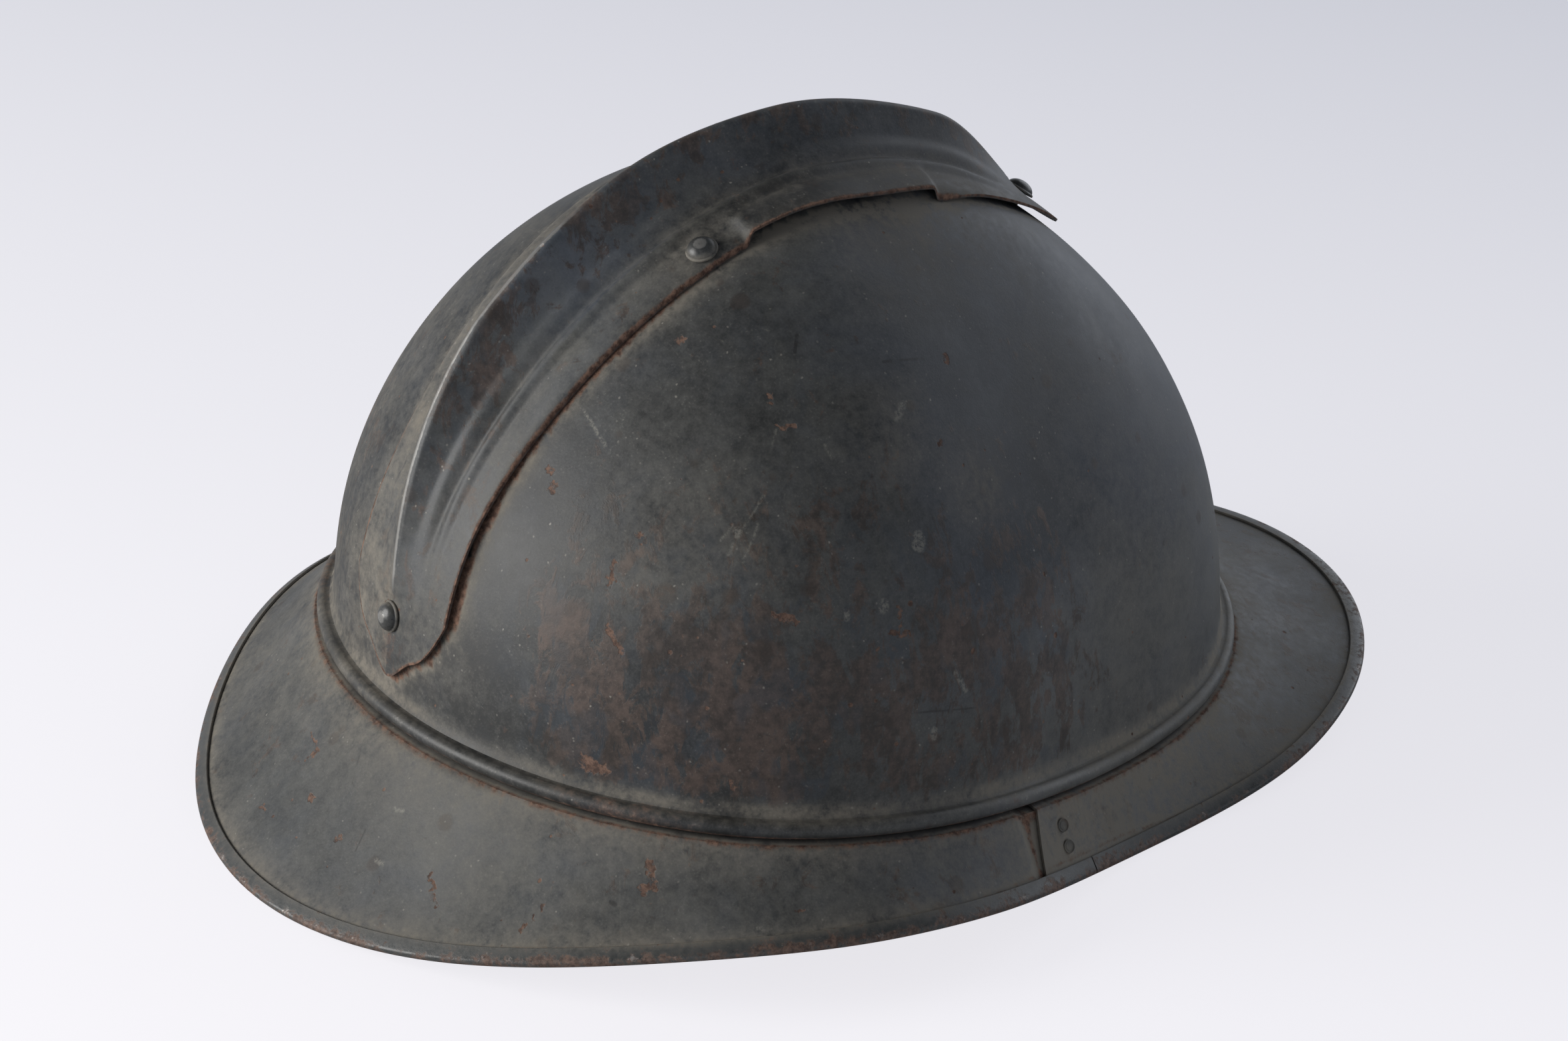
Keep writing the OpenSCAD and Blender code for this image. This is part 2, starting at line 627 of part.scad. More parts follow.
module seam_rivets() {
    color(paint) both_sides() for (q = seam_rivet_q) on_seam(q) {
        translate([0, 0, seam_rivet_up]) cylinder(h = seam_rivet_head_h, d = seam_rivet_head_d, $fn = 32);
        translate([0, 0, -stack - 0.5])
            cylinder(h = stack + 0.5 + seam_rivet_up + seam_rivet_head_h / 2, d = seam_rivet_d, $fn = 24);
        translate([0, 0, -stack - 0.8]) cylinder(h = 0.6, d = seam_rivet_head_d, $fn = 32);
    }
}

// The seam's own frame on the right: +X points inwards and +Y back along the brim
seam_a = let (t = seam_rivet_at - 4) place(t, slope_point(t, 0.4)[0], 0);
seam_b = let (t = seam_rivet_at + 4) place(t, slope_point(t, 0.4)[0], 0);
seam_plan = atan2(seam_b.x - seam_a.x, seam_a.y - seam_b.y);
seam_skew = cos(seam_plan - (seam_rivet_at - 90));
seam_foot = place(seam_rivet_at, bead_r(seam_rivet_at), 0);
seam_in = [cos(seam_plan), sin(seam_plan), 0];
hinge_z = bead_z(seam_rivet_at) - hinge_drop;
hinge = seam_foot + hinge_in * seam_in + [0, 0, hinge_z];

// Strap brackets: a plate under the seam with a barrel for the loop's top bar
barrel_r = wire_r + hinge_gap + barrel_wall;
module right_bracket() {
    n = slope_normal(seam_rivet_at, 0.4);
    depth = 2 * steel_t + lap_gap + bracket_gap;
    function flat(q, d) = let (p = slope_point(seam_rivet_at, q) - d * n)
        [(bead_r(seam_rivet_at) - p[0]) * seam_skew, p[1]];
    p1 = flat(0.08, depth);
    p2 = flat(0.66, depth);
    p3 = flat(0.66, depth + bracket_t);
    p4 = flat(0.08, depth + bracket_t);
    hub = [hinge_in, hinge_z];
    difference() {
        translate(seam_foot) rotate([0, 0, seam_plan]) difference() {
            translate([0, barrel_l / 2, 0]) rotate([90, 0, 0]) linear_extrude(barrel_l) {
                polygon([p1, p2, p3, p4]);
                polygon([p1, p4, lerp(p4, p3, 0.08), hub + [-barrel_r * 0.5, -barrel_r * 0.8],
                         hub + [0, barrel_r * 0.9]]);
                translate(hub) circle(r = barrel_r, $fn = 48);
            }
            translate([hinge_in, 0, hinge_z]) rotate([90, 0, 0])
                cylinder(h = 3 * barrel_l, r = wire_r + hinge_gap, center = true, $fn = 48);
        }
        seam_rivet_holes();
    }
}
module strap_bracket_right() { color(bare_steel) right_bracket(); }
module strap_bracket_left() { color(bare_steel) mirror([1, 0, 0]) right_bracket(); }

// At rest the loops lean inwards until their folds lie just over the table
fold_inner = wire_r + fold_gap;
fold_outer = fold_inner + strap_t;
fold_half = strap_t + 0.1;
fold_reach = loop_h + fold_l;
loop_lean = atan2(fold_half, fold_reach)
    + acos((hinge_z - table_gap) / norm([fold_reach, fold_half]));

// In a loop's own frame the top bar lies along Y and the loop goes along +X
module at_right_hinge() {
    translate(hinge) rotate([0, 0, seam_plan]) rotate([0, 90 - loop_lean, 0]) children();
}
module wire_bar(l) { rotate([90, 0, 0]) cylinder(h = l, r = wire_r, center = true, $fn = 32); }
module wire_corner() {
    rotate_extrude(angle = 90, $fn = 48) translate([loop_bend, 0]) circle(r = wire_r, $fn = 32);
}
module loop_wire() {
    half = loop_w / 2 + wire_r;
    for (x = [0, loop_h]) translate([x, 0, 0]) wire_bar(2 * (half - loop_bend));
    for (y = [-half, half]) translate([loop_h / 2, y, 0]) rotate([0, 0, 90])
        wire_bar(loop_h - 2 * loop_bend);
    for (k = [0, 1], m = [0, 1]) translate([loop_h / 2, 0, 0]) mirror([k, 0, 0]) mirror([0, m, 0])
        translate([loop_h / 2 - loop_bend, half - loop_bend, 0]) wire_corner();
}
module strap_loop_right() { color(bare_steel) at_right_hinge() loop_wire(); }
module strap_loop_left() { color(bare_steel) mirror([1, 0, 0]) at_right_hinge() loop_wire(); }

// The strap's stitched folds round the loops' lower bars
module strap_fold() {
    difference() {
        translate([loop_h, strap_w / 2, 0]) rotate([90, 0, 0]) linear_extrude(strap_w) {
            circle(r = fold_outer, $fn = 48);
            translate([0, -fold_half]) square([fold_l, 2 * fold_half]);
        }
        translate([loop_h, 0, 0]) rotate([90, 0, 0])
            cylinder(h = 2 * strap_w, r = fold_inner, center = true, $fn = 48);
    }
}
module strap_fold_right() { color(strap_hide) at_right_hinge() strap_fold(); }
module strap_fold_left() { color(strap_hide) mirror([1, 0, 0]) at_right_hinge() strap_fold(); }

// Free run of the chin strap: flat at the loops, then standing on edge in a wide U that
// opens to the back. Its left half mirrors its right half.
start_reach = fold_reach + strap_gap;
start = hinge + start_reach * (sin(loop_lean) * seam_in - [0, 0, cos(loop_lean)]);
strap_foot = table_gap + slider_bar / 2 + slider_gap;
lead_l = 6;
turn_l = turn_r * (90 + seam_plan) * PI / 180;
turn_mid = start + lead_l * seam_in + turn_r * [sin(seam_plan), -cos(seam_plan), 0];
turn_x = turn_mid.x + turn_r;
bow_r = -turn_x;
bow_l = bow_r * PI / 2;
straight_from = lead_l + turn_l;
bow_y = turn_mid.y - straight_l;
// Place and heading in plan at a distance d along the right half
function plan(d) =
    d < lead_l ? [start.x + d * seam_in.x, start.y + d * seam_in.y, seam_plan]
    : d < straight_from ?
        let (h = seam_plan - (d - lead_l) / turn_r * 180 / PI)
        [turn_mid.x - turn_r * sin(h), turn_mid.y + turn_r * cos(h), h]
    : d < straight_from + straight_l ? [turn_x, turn_mid.y - (d - straight_from), -90]
    : let (a = (d - straight_from - straight_l) / bow_r * 180 / PI)
      [-bow_r * cos(a), bow_y - bow_r * sin(a), -90 + a];
function strap_roll(d) = 90 * soft(d / twist_l);
function strap_z(d) =
    let (lift = strap_foot + strap_w / 2 * sin(strap_roll(d)) + strap_t / 2 * cos(strap_roll(d)))
    lift + max(0, start.z - strap_foot - strap_t / 2) * (1 - soft(d / lead_l));
function strap_corners(o, w, n) =
    let (a = strap_w / 2 * w, b = strap_t / 2 * n) [o + a + b, o - a + b, o - a - b, o + a - b];
function strap_row(d) =
    let (p = plan(d), h = p[2], roll = strap_roll(d), side = [-sin(h), cos(h), 0])
    strap_corners([p[0], p[1], strap_z(d)], cos(roll) * side + sin(roll) * [0, 0, 1],
                  -sin(roll) * side + cos(roll) * [0, 0, 1]);
first_face = strap_corners(start, [-sin(seam_plan), cos(seam_plan), 0],
                           cos(loop_lean) * seam_in + [0, 0, sin(loop_lean)]);
strap_steps = concat([for (k = [1:18]) k / 18 * straight_from],
                     [straight_from + straight_l],
                     [for (k = [1:14]) straight_from + straight_l + k / 14 * bow_l]);
module chin_strap() {
    right = concat([first_face], [for (d = strap_steps) strap_row(d)]);
    function flip(row) = [for (i = [0:3]) let (p = row[[1, 0, 3, 2][i]]) [-p.x, p.y, p.z]];
    left = [for (i = [len(right) - 2:-1:0]) flip(right[i])];
    color(strap_hide) skin(concat(right, [for (r = left) [r[1], r[0], r[3], r[2]]]));
}

// Slider: two outer bars on one face of the strap and a middle bar on the other
module strap_slider() {
    y = turn_mid.y - slider_at;
    z = strap_foot + strap_w / 2;
    face = strap_t / 2 + slider_gap;
    tall = strap_w + 2 * slider_gap;
    color(bare_steel) translate([turn_x, y, z]) {
        for (k = [-1, 1]) translate([-face - slider_bar, k * (slider_l - slider_bar) / 2 - slider_bar / 2,
                                     -tall / 2]) cube([slider_bar, slider_bar, tall]);
        translate([face, -slider_bar / 2, -tall / 2]) cube([slider_bar, slider_bar, tall]);
        for (k = [0, 1]) mirror([0, 0, k]) translate([-face - slider_bar, -slider_l / 2, tall / 2])
            cube([2 * (face + slider_bar), slider_l, slider_bar * (k == 0 ? 1 : 0.5)]);
    }
}

// Liner layers, from the bowl's wall inwards
spacer_out = -steel_t - layer_gap;
felt_out = spacer_out - spacer_d - layer_gap;
band_out = felt_out - felt_t - layer_gap;
band_in = band_out - leather_t;
band_foot = 8;
function band_z(t, k) = bead_z(t) + band_foot + band_h * k;
function band_rows(out, thick, lo, hi) = [for (t = [0:turn_step:359])
    turned(t, concat([for (k = [lo, (lo + hi) / 2, hi]) [wall_at(t, band_z(t, k), out), band_z(t, k)]],
                     [for (k = [hi, (lo + hi) / 2, lo])
                         [wall_at(t, band_z(t, k), out) - thick, band_z(t, k)]]))];
module felt_band() { color(wool) skin(band_rows(felt_out, felt_t, 0.08, 0.92), true); }
module liner_band() { color(hide) skin(band_rows(band_out, leather_t, 0, 1), true); }

// A corrugated spacer centred at turn c
module spacer(c) {
    steps = spacer_waves * 6;
    mid = spacer_out - spacer_d / 2;
    swing = (spacer_d - spacer_t) / 2;
    rows = [for (i = [0:steps])
        let (t = c + lerp(-spacer_half, spacer_half, i / steps), s = swing * cos(i * 60),
             z0 = band_z(t, 0.12), z1 = band_z(t, 0.8))
        turned(t, [[wall_at(t, z0, mid) + s + spacer_t / 2, z0],
                   [wall_at(t, z1, mid) + s + spacer_t / 2, z1],
                   [wall_at(t, z1, mid) + s - spacer_t / 2, z1],
                   [wall_at(t, z0, mid) + s - spacer_t / 2, z0]])];
    color(alloy) skin(rows);
}
module spacer_front() { spacer(180); }
module spacer_back() { spacer(0); }
module spacer_left() { spacer(-90); }
module spacer_right() { spacer(90); }

// Clips from the bowl's wall, hooked under the leather band
module liner_clips() {
    color(bare_steel) for (t = [45, 135, 225, 315]) {
        half = clip_w / 2 / wall_r(t) * 180 / PI;
        skin([for (a = [t - half, t, t + half])
            let (out = -steel_t - layer_gap - clip_t, z = bead_z(a) + band_foot - layer_gap,
                 r = wall_at(a, z + 1, out), inner = wall_at(a, z, band_in) - layer_gap - 0.1,
                 tip = wall_at(a, z + 6, band_in) - layer_gap - 0.1)
            turned(a, sheet([[wall_at(a, z + 6, out), z + 6], [r, z + 1], [r - 0.5, z],
                             [inner + 0.5, z], [inner, z + 0.5], [tip, z + 6]], -clip_t))]);
    }
}

// The liner's crown, which the tongues follow
crown_top = top_z - crown_space;
function crown_foot(t) = band_z(t, 1) + layer_gap;
function crown_r(t, s) = (wall_at(t, crown_foot(t), band_out) - leather_t / 2) * pow(cos(s), 0.9);
function crown_z(t, s) = crown_foot(t) + (crown_top - crown_foot(t)) * sin(s);
tongue_rows = [0, 0.15, 0.3, 0.45, 0.6, 0.75, 0.88, 1];
tongue_lanes = [-1, -0.6, -0.2, 0.2, 0.6, 1];
module liner_tongue(i) {
    mid = 360 / tongues * (i - 0.5);
    foot_half = 180 / tongues - tongue_gap / 2 / 90 * 180 / PI;
    function lane_half(k) = foot_half * (1 - 0.3 * pow(k, 4));
    function rise(k, v) = tongue_reach * (k - 0.06 * pow(abs(v), 3) * k);
    function spot(k, v, d) =
        let (s = rise(k, v), t = mid + lane_half(k) * v)
        place(t, crown_r(t, s) + d * cos(s), crown_z(t, s) + d * sin(s));
    color(hide) skin([for (k = tongue_rows)
        concat([for (v = tongue_lanes) spot(k, v, leather_t / 2)],
               [for (v = reverse(tongue_lanes)) spot(k, v, -leather_t / 2)])]);
}

// Lace round the tongues' tips, on top of them, tied on the left
lace_rise = tongue_reach - 6;
module liner_lace() {
    sides = 8;
    steps = 48;
    up = leather_t / 2 + layer_gap + lace_d / 2;
    function spine(t) = place(t, crown_r(t, lace_rise) + up * cos(lace_rise),
                              crown_z(t, lace_rise) + up * sin(lace_rise));
    color(linen) skin([for (j = [0:steps - 1])
        let (t = j * 360 / steps, o = spine(t), e = [-sin(t), cos(t), 0])
        [for (i = [0:sides - 1]) let (a = 360 * i / sides)
            o + lace_d / 2 * (cos(a) * e + sin(a) * [0, 0, 1])]], true);
}

bowl();
neck_guard();
front_visor();
edge_strip();
crest();
crest_rivets();
seam_rivets();
strap_bracket_left();
strap_bracket_right();
strap_loop_left();
strap_loop_right();
strap_fold_left();
strap_fold_right();
chin_strap();
strap_slider();
spacer_front();
spacer_back();
spacer_left();
spacer_right();
felt_band();
liner_band();
liner_clips();
liner_lace();
liner_tongue(1);  // liner_tongue_1
liner_tongue(2);  // liner_tongue_2
liner_tongue(3);  // liner_tongue_3
liner_tongue(4);  // liner_tongue_4
liner_tongue(5);  // liner_tongue_5
liner_tongue(6);  // liner_tongue_6
liner_tongue(7);  // liner_tongue_7
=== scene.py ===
import math

import bpy
import numpy as np
from mathutils import Matrix, Vector


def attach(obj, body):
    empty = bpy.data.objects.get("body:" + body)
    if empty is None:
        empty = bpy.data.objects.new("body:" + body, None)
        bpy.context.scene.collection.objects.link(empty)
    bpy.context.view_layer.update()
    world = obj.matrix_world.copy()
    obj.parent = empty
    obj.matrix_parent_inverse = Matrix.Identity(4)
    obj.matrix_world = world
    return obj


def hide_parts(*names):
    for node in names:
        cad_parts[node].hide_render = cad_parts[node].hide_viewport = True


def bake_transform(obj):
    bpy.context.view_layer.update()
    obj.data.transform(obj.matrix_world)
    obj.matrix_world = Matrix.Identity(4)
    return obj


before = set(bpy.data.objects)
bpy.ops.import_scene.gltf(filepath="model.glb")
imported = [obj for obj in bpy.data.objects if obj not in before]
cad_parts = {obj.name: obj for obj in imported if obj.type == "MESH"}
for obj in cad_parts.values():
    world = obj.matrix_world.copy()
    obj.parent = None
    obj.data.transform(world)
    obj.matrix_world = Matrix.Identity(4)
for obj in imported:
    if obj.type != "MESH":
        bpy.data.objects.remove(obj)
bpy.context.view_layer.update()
MM = 0.001


# Camera: over the rear of the helmet, on the wearer's right

FRAME_W, FRAME_H = 2361, 1568
SENSOR_W, LENS = 36, 92.814
CAMERA_TURN, CAMERA_RISE, CAMERA_ROLL = math.radians(55.66), math.radians(25.589), math.radians(1.7268)
CAMERA_TARGET, CAMERA_FAR = np.array([-36.262, 32.237, 74.333]), 860.06


def camera_axes():
    """Where the camera stands, in millimetres, and its right, its up and its back."""
    back = np.array([-math.sin(CAMERA_TURN) * math.cos(CAMERA_RISE),
                     math.cos(CAMERA_TURN) * math.cos(CAMERA_RISE), math.sin(CAMERA_RISE)])
    right = np.cross(-back, [0, 0, 1])
    right /= np.linalg.norm(right)
    up = np.cross(right, -back)
    across = math.cos(CAMERA_ROLL) * right + math.sin(CAMERA_ROLL) * up
    above = math.cos(CAMERA_ROLL) * up - math.sin(CAMERA_ROLL) * right
    return CAMERA_TARGET + back * CAMERA_FAR, across, above, back


def set_camera():
    eye, *axes = camera_axes()
    cam = bpy.data.cameras.new("camera")
    cam.sensor_width, cam.lens = SENSOR_W, LENS
    cam.clip_start, cam.clip_end = 0.05, 20
    holder = bpy.data.objects.new("camera", cam)
    bpy.context.scene.collection.objects.link(holder)
    place = Matrix([tuple(axis) for axis in axes]).transposed().to_4x4()
    place.translation = Vector(eye * MM)
    holder.matrix_world = place
    bpy.context.scene.camera = holder


set_camera()


# Finishes

class Wire:
    """One output in a material, used like a number in sums."""

    def __init__(self, finish, socket):
        self.finish, self.socket = finish, socket

    def sum(self, operation, *values):
        return self.finish.node("ShaderNodeMath", {"operation": operation}, dict(enumerate(values)))

    def __add__(self, other):
        return self.sum("ADD", self, other)

    def __radd__(self, other):
        return self.sum("ADD", other, self)

    def __sub__(self, other):
        return self.sum("SUBTRACT", self, other)

    def __rsub__(self, other):
        return self.sum("SUBTRACT", other, self)

    def __mul__(self, other):
        return self.sum("MULTIPLY", self, other)

    def __rmul__(self, other):
        return self.sum("MULTIPLY", other, self)

    def __truediv__(self, other):
        return self.sum("DIVIDE", self, other)

    def __pow__(self, other):
        return self.sum("POWER", self, other)

    def most(self, other):
        return self.sum("MAXIMUM", self, other)

    def least(self, other):
        return self.sum("MINIMUM", self, other)

    def clamped(self):
        return self.finish.node("ShaderNodeClamp", {}, {0: self})

    def eased(self, low, high):
        """0 at low, 1 at high, smooth between them."""
        if low > high:
            return 1 - self.eased(high, low)
        return self.finish.node("ShaderNodeMapRange", {"interpolation_type": "SMOOTHSTEP"},
                                {"Value": self, "From Min": low, "From Max": high})


class Finish:
    """A material under construction. Lengths in it are in millimetres on the object."""

    def __init__(self, name):
        self.material = bpy.data.materials.new(name)
        self.material.use_nodes = True
        self.nodes, self.links = self.material.node_tree.nodes, self.material.node_tree.links
        self.shader = self.nodes["Principled BSDF"]
        spot = self.node("ShaderNodeTexCoord", {}, {}, "Object")
        self.spot = self.node("ShaderNodeVectorMath", {"operation": "SCALE"}, {0: spot, "Scale": 1 / MM})

    def node(self, kind, settings, sockets, output=0):
        made = self.nodes.new(kind)
        for name, value in settings.items():
            if name == "stops":
                ramp = made.color_ramp.elements
                while len(ramp) < len(value):
                    ramp.new(0.5)
                for stop, (at, colour) in zip(ramp, value):
                    stop.position, stop.color = at, (*colour, 1)
            else:
                setattr(made, name, value)
        for name, value in sockets.items():
            if isinstance(value, Wire):
                self.links.new(value.socket, made.inputs[name])
            elif isinstance(value, tuple) and len(value) == 3 and made.inputs[name].type == "RGBA":
                made.inputs[name].default_value = (*value, 1)
            else:
                made.inputs[name].default_value = value
        return Wire(self, made.outputs[output])

    def stretched(self, x, y, z, shift=(0, 0, 0)):
        moved = self.node("ShaderNodeVectorMath", {"operation": "ADD"}, {0: self.spot, 1: shift})
        return self.node("ShaderNodeVectorMath", {"operation": "MULTIPLY"}, {0: moved, 1: (x, y, z)})

    def cloud(self, size, detail=3.0, rough=0.55, warp=0.0, at=None):
        """Soft random values about 0.5, in blobs about size across."""
        return self.node("ShaderNodeTexNoise", {}, {"Vector": at or self.spot, "Scale": 1.0 / size,
                                                     "Detail": detail, "Roughness": rough,
                                                     "Distortion": warp})

    def cells(self, size, output=0, feature="F1", at=None):
        return self.node("ShaderNodeTexVoronoi", {"feature": feature},
                         {"Vector": at or self.spot, "Scale": 1.0 / size, "Randomness": 1.0}, output)

    def mark(self, name):
        """A value stored at the mesh's points."""
        return self.node("ShaderNodeAttribute", {"attribute_name": name}, {}, "Fac")

    def mixed(self, share, first, second):
        return self.node("ShaderNodeMix", {"data_type": "RGBA"}, {0: share, 6: first, 7: second}, 2)

    def part(self, axis):
        return self.node("ShaderNodeSeparateXYZ", {}, {0: self.spot}, axis)

    def near(self, centre):
        """Distance to a point on the object."""
        return self.node("ShaderNodeVectorMath", {"operation": "DISTANCE"},
                         {0: self.spot, 1: centre}, "Value")

    def near_line(self, start, end, warp=None):
        """Distance to a straight line between two points."""
        start, end = Vector(start), Vector(end)
        run = end - start
        where = warp or self.spot
        away = self.node("ShaderNodeVectorMath", {"operation": "SUBTRACT"}, {0: where, 1: tuple(start)})
        along = self.node("ShaderNodeVectorMath", {"operation": "DOT_PRODUCT"},
                          {0: away, 1: tuple(run / run.length_squared)}, "Value").clamped()
        foot = self.node("ShaderNodeVectorMath", {"operation": "SCALE"}, {0: tuple(run), "Scale": along})
        return self.node("ShaderNodeVectorMath", {"operation": "DISTANCE"}, {0: away, 1: foot}, "Value")

    def drawn(self, lines, where, grow):
        """Distance to the nearest of some short lines, less its half width."""
        nearest = None
        for start, end, half in lines:
            far = self.near_line(start, end, where) - (half + grow)
            nearest = far if nearest is None else nearest.least(far)
        return nearest

    def set(self, **values):
        for name, value in values.items():
            socket = self.shader.inputs[name.replace("_", " ")]
            if isinstance(value, Wire):
                self.links.new(value.socket, socket)
            elif isinstance(value, tuple) and len(value) == 3:
                socket.default_value = (*value, 1)
            else:
                socket.default_value = value

    def raise_by(self, height):
        """Surface relief, with heights in millimetres."""
        self.set(Normal=self.node("ShaderNodeBump", {}, {"Height": height * MM, "Distance": 1.0,
                                                         "Strength": 1.0}, "Normal"))


def shell_paint(name, scratches=(), chips=(), scores=(), rings=()):
    """Matt grey-green paint with a brown stain, dust, chips and scratches.

    Each scratch, chip and score is a start, an end and half a width, on the surface.
    Dust has gathered in rings around the points given.
    """
    f = Finish(name)
    broad, middle = f.cloud(44, 4, 0.6), f.cloud(12, 5, 0.62)
    fine, grit = f.cloud(2.0, 4, 0.65), f.cloud(0.5, 2, 0.6)
    wiped = f.cloud(9, 5, 0.66, 0.6, f.stretched(0.7, 0.7, 1.0))
    tone = (f.mark("tone") + (broad - 0.5) * 0.7 + (middle - 0.5) * 0.6 + (wiped - 0.5) * 0.55
            + (fine - 0.5) * 0.75 + (grit - 0.5) * 0.3).clamped()
    blue = (f.mark("blue") + (f.cloud(22, 5, 0.66, 0.5) - 0.5) * 2.0).clamped()
    base = f.mixed(blue, f.mixed(tone, (0.021, 0.022, 0.022), (0.132, 0.133, 0.125)),
                   f.mixed(tone, (0.020, 0.026, 0.035), (0.098, 0.110, 0.131)))
    # Brown stain in short upright streaks, with slate blue left between them
    streaks, blots = f.cloud(4.5, 6, 0.74, 0.5, f.stretched(1, 1, 0.5)), f.cloud(17, 4, 0.65)
    stain_share = (f.mark("stain") * 1.15 + (streaks - 0.5) * 3.6 + (blots - 0.5) * 2.2
                   - 0.60).eased(0.0, 0.34)
    brown = f.mixed((fine * 0.5 + middle * 0.5).eased(0.38, 0.64),
                    (0.038, 0.027, 0.021), (0.118, 0.078, 0.060))
    slate = f.cloud(8, 3, 0.55, 0.3, f.stretched(1, 1, 0.7)).eased(0.53, 0.62) * f.mark("stain")
    base = f.mixed((slate * 0.7).clamped(), base, f.mixed(tone, (0.032, 0.040, 0.050), (0.062, 0.076, 0.092)))
    base = f.mixed(stain_share * (0.75 - 0.35 * slate), base, brown)
    # Small dark brown spots
    at_random = f.node("ShaderNodeTexNoise", {}, {"Vector": f.spot, "Scale": 0.6, "Detail": 4.0}, "Color")
    ragged = f.node("ShaderNodeVectorMath", {"operation": "ADD"},
                    {0: f.stretched(1, 1, 1, (-0.5, -0.5, -0.5)), 1: at_random})
    very_ragged = f.node("ShaderNodeVectorMath", {"operation": "MULTIPLY_ADD"},
                         {0: at_random, 1: (3.6, 3.6, 3.6), 2: f.stretched(1, 1, 1, (-1.8, -1.8, -1.8))})
    lot = f.node("ShaderNodeSeparateXYZ", {}, {0: f.cells(8.5, "Color", at=ragged)}, "X")
    spots = ((lot - 0.45) * 0.55 + f.mark("stain") * 0.2 - f.cells(8.5, 0, at=ragged) * 1.1).eased(0.0, 0.12)
    base = f.mixed(spots * (0.25 + 0.5 * fine), base, (0.038, 0.026, 0.020))
    # Dust that lies along edges and on the upper faces
    drift = (middle - 0.5) * 2.6 + (fine - 0.5) * 3.0 + (wiped - 0.5) * 1.8 + 0.95
    dust_share = (f.mark("dust") * 1.2 * drift).clamped()
    base = f.mixed(dust_share * 0.82, base, f.mixed(broad, (0.255, 0.222, 0.176), (0.205, 0.192, 0.160)))
    # Fine pale specks: a cell is one where its own lot is high
    speck_lot = f.node("ShaderNodeSeparateXYZ", {}, {0: f.cells(1.3, "Color", at=ragged)}, "Y")
    specks = f.cells(1.3, at=ragged).eased(0.26, 0.08) * (speck_lot + (middle - 0.5) * 0.9).eased(0.84, 1.1)
    haze = grit.eased(0.62, 0.8) * (0.3 + 0.7 * middle.eased(0.42, 0.6))
    base = f.mixed((haze * 0.26).most(specks * 0.78), base, (0.33, 0.31, 0.27))
    # Chips with a rusty bottom
    chip_lot = f.node("ShaderNodeSeparateXYZ", {}, {0: f.cells(3.4, "Color", at=ragged)}, "Z")
    chip = ((chip_lot - 0.84) * 1.1 + f.mark("chips") * 0.2 - f.cells(3.4, 0, at=ragged) * 1.1).eased(0, 0.1)
    if chips:
        chip = chip.most(f.drawn(chips, very_ragged, 0.35).eased(0.2, -0.2) * fine.eased(0.34, 0.5))
    rust_line = (f.mark("rust") * (0.3 + 1.2 * f.cloud(4, 5, 0.7)) * (0.45 + 1.1 * fine)).eased(0.3, 0.8)
    rust = (chip * 0.9).most(rust_line)
    rusty = f.mixed(f.cloud(1.4, 4, 0.7).eased(0.35, 0.65), (0.072, 0.040, 0.029), (0.225, 0.132, 0.092))
    base = f.mixed(rust, base, rusty)
    # Scratches show pale, old scores dark
    scratch = 0.0
    if scratches:
        scratch = f.drawn(scratches, ragged, 0.0).eased(0.25, -0.45) * f.cloud(0.9, 4, 0.8).eased(0.40, 0.60)
        base = f.mixed(scratch * 0.66, base, (0.27, 0.26, 0.22))
    if scores:
        score = f.drawn(scores, f.spot, 0.0).eased(0.25, -0.1) * f.cloud(3.0, 3, 0.6).eased(0.36, 0.55)
        base = f.mixed(score * 0.6, base, (0.020, 0.018, 0.017))
    for centre in rings:
        ring = (f.near(centre) - 2.0).sum("ABSOLUTE", f.near(centre) - 2.0).eased(0.55, 0.1)
        base = f.mixed(ring * 0.5 * fine.eased(0.3, 0.5), base, (0.24, 0.215, 0.175))
    # The comb's ridge and other edges are rubbed to bright steel, and along the ridge a painted highlight is
    # laid over that.
    from_ridge = f.part("X").sum("ABSOLUTE", f.part("X") + (fine - 0.5) * 0.5)
    ridge_highlight_share = from_ridge.eased(0.62, 0.2) * f.mark("ridge")
    rub_and_highlight = (f.mark("wear") * (0.4 + middle) - 0.25 + (fine - 0.5) * 0.9).eased(0.15, 0.75)
    rub_and_highlight = rub_and_highlight.most((ridge_highlight_share * (0.45 + 1.1 * f.cloud(5, 4, 0.7)) * (0.5 + fine)).clamped())
    base = f.mixed(rub_and_highlight * 0.85, base, (0.36, 0.35, 0.33))
    # Painted shade: colour near black where the mark says, on the bowl under the crest, on the brim's collar
    # under the bead and on the crest's underside.
    base = f.mixed(f.mark("dark").clamped(), base, (0.016, 0.015, 0.014))
    f.set(Base_Color=base, Metallic=(rub_and_highlight * 0.6 * (1 - rust)).clamped(),
          Roughness=(0.52 + dust_share * 0.3 + rust * 0.35 + (fine - 0.5) * 0.16 + (middle - 0.5) * 0.2
                     - rub_and_highlight * 0.12 - f.mark("gloss") * 0.22 * (1 - dust_share)).clamped(),
          Specular_IOR_Level=0.5)
    f.raise_by(fine * 0.03 + grit * 0.012 + middle * 0.07 - chip * 0.05 + rust_line * 0.03
               + stain_share * fine * 0.03 + spots * 0.015)
    return f.material


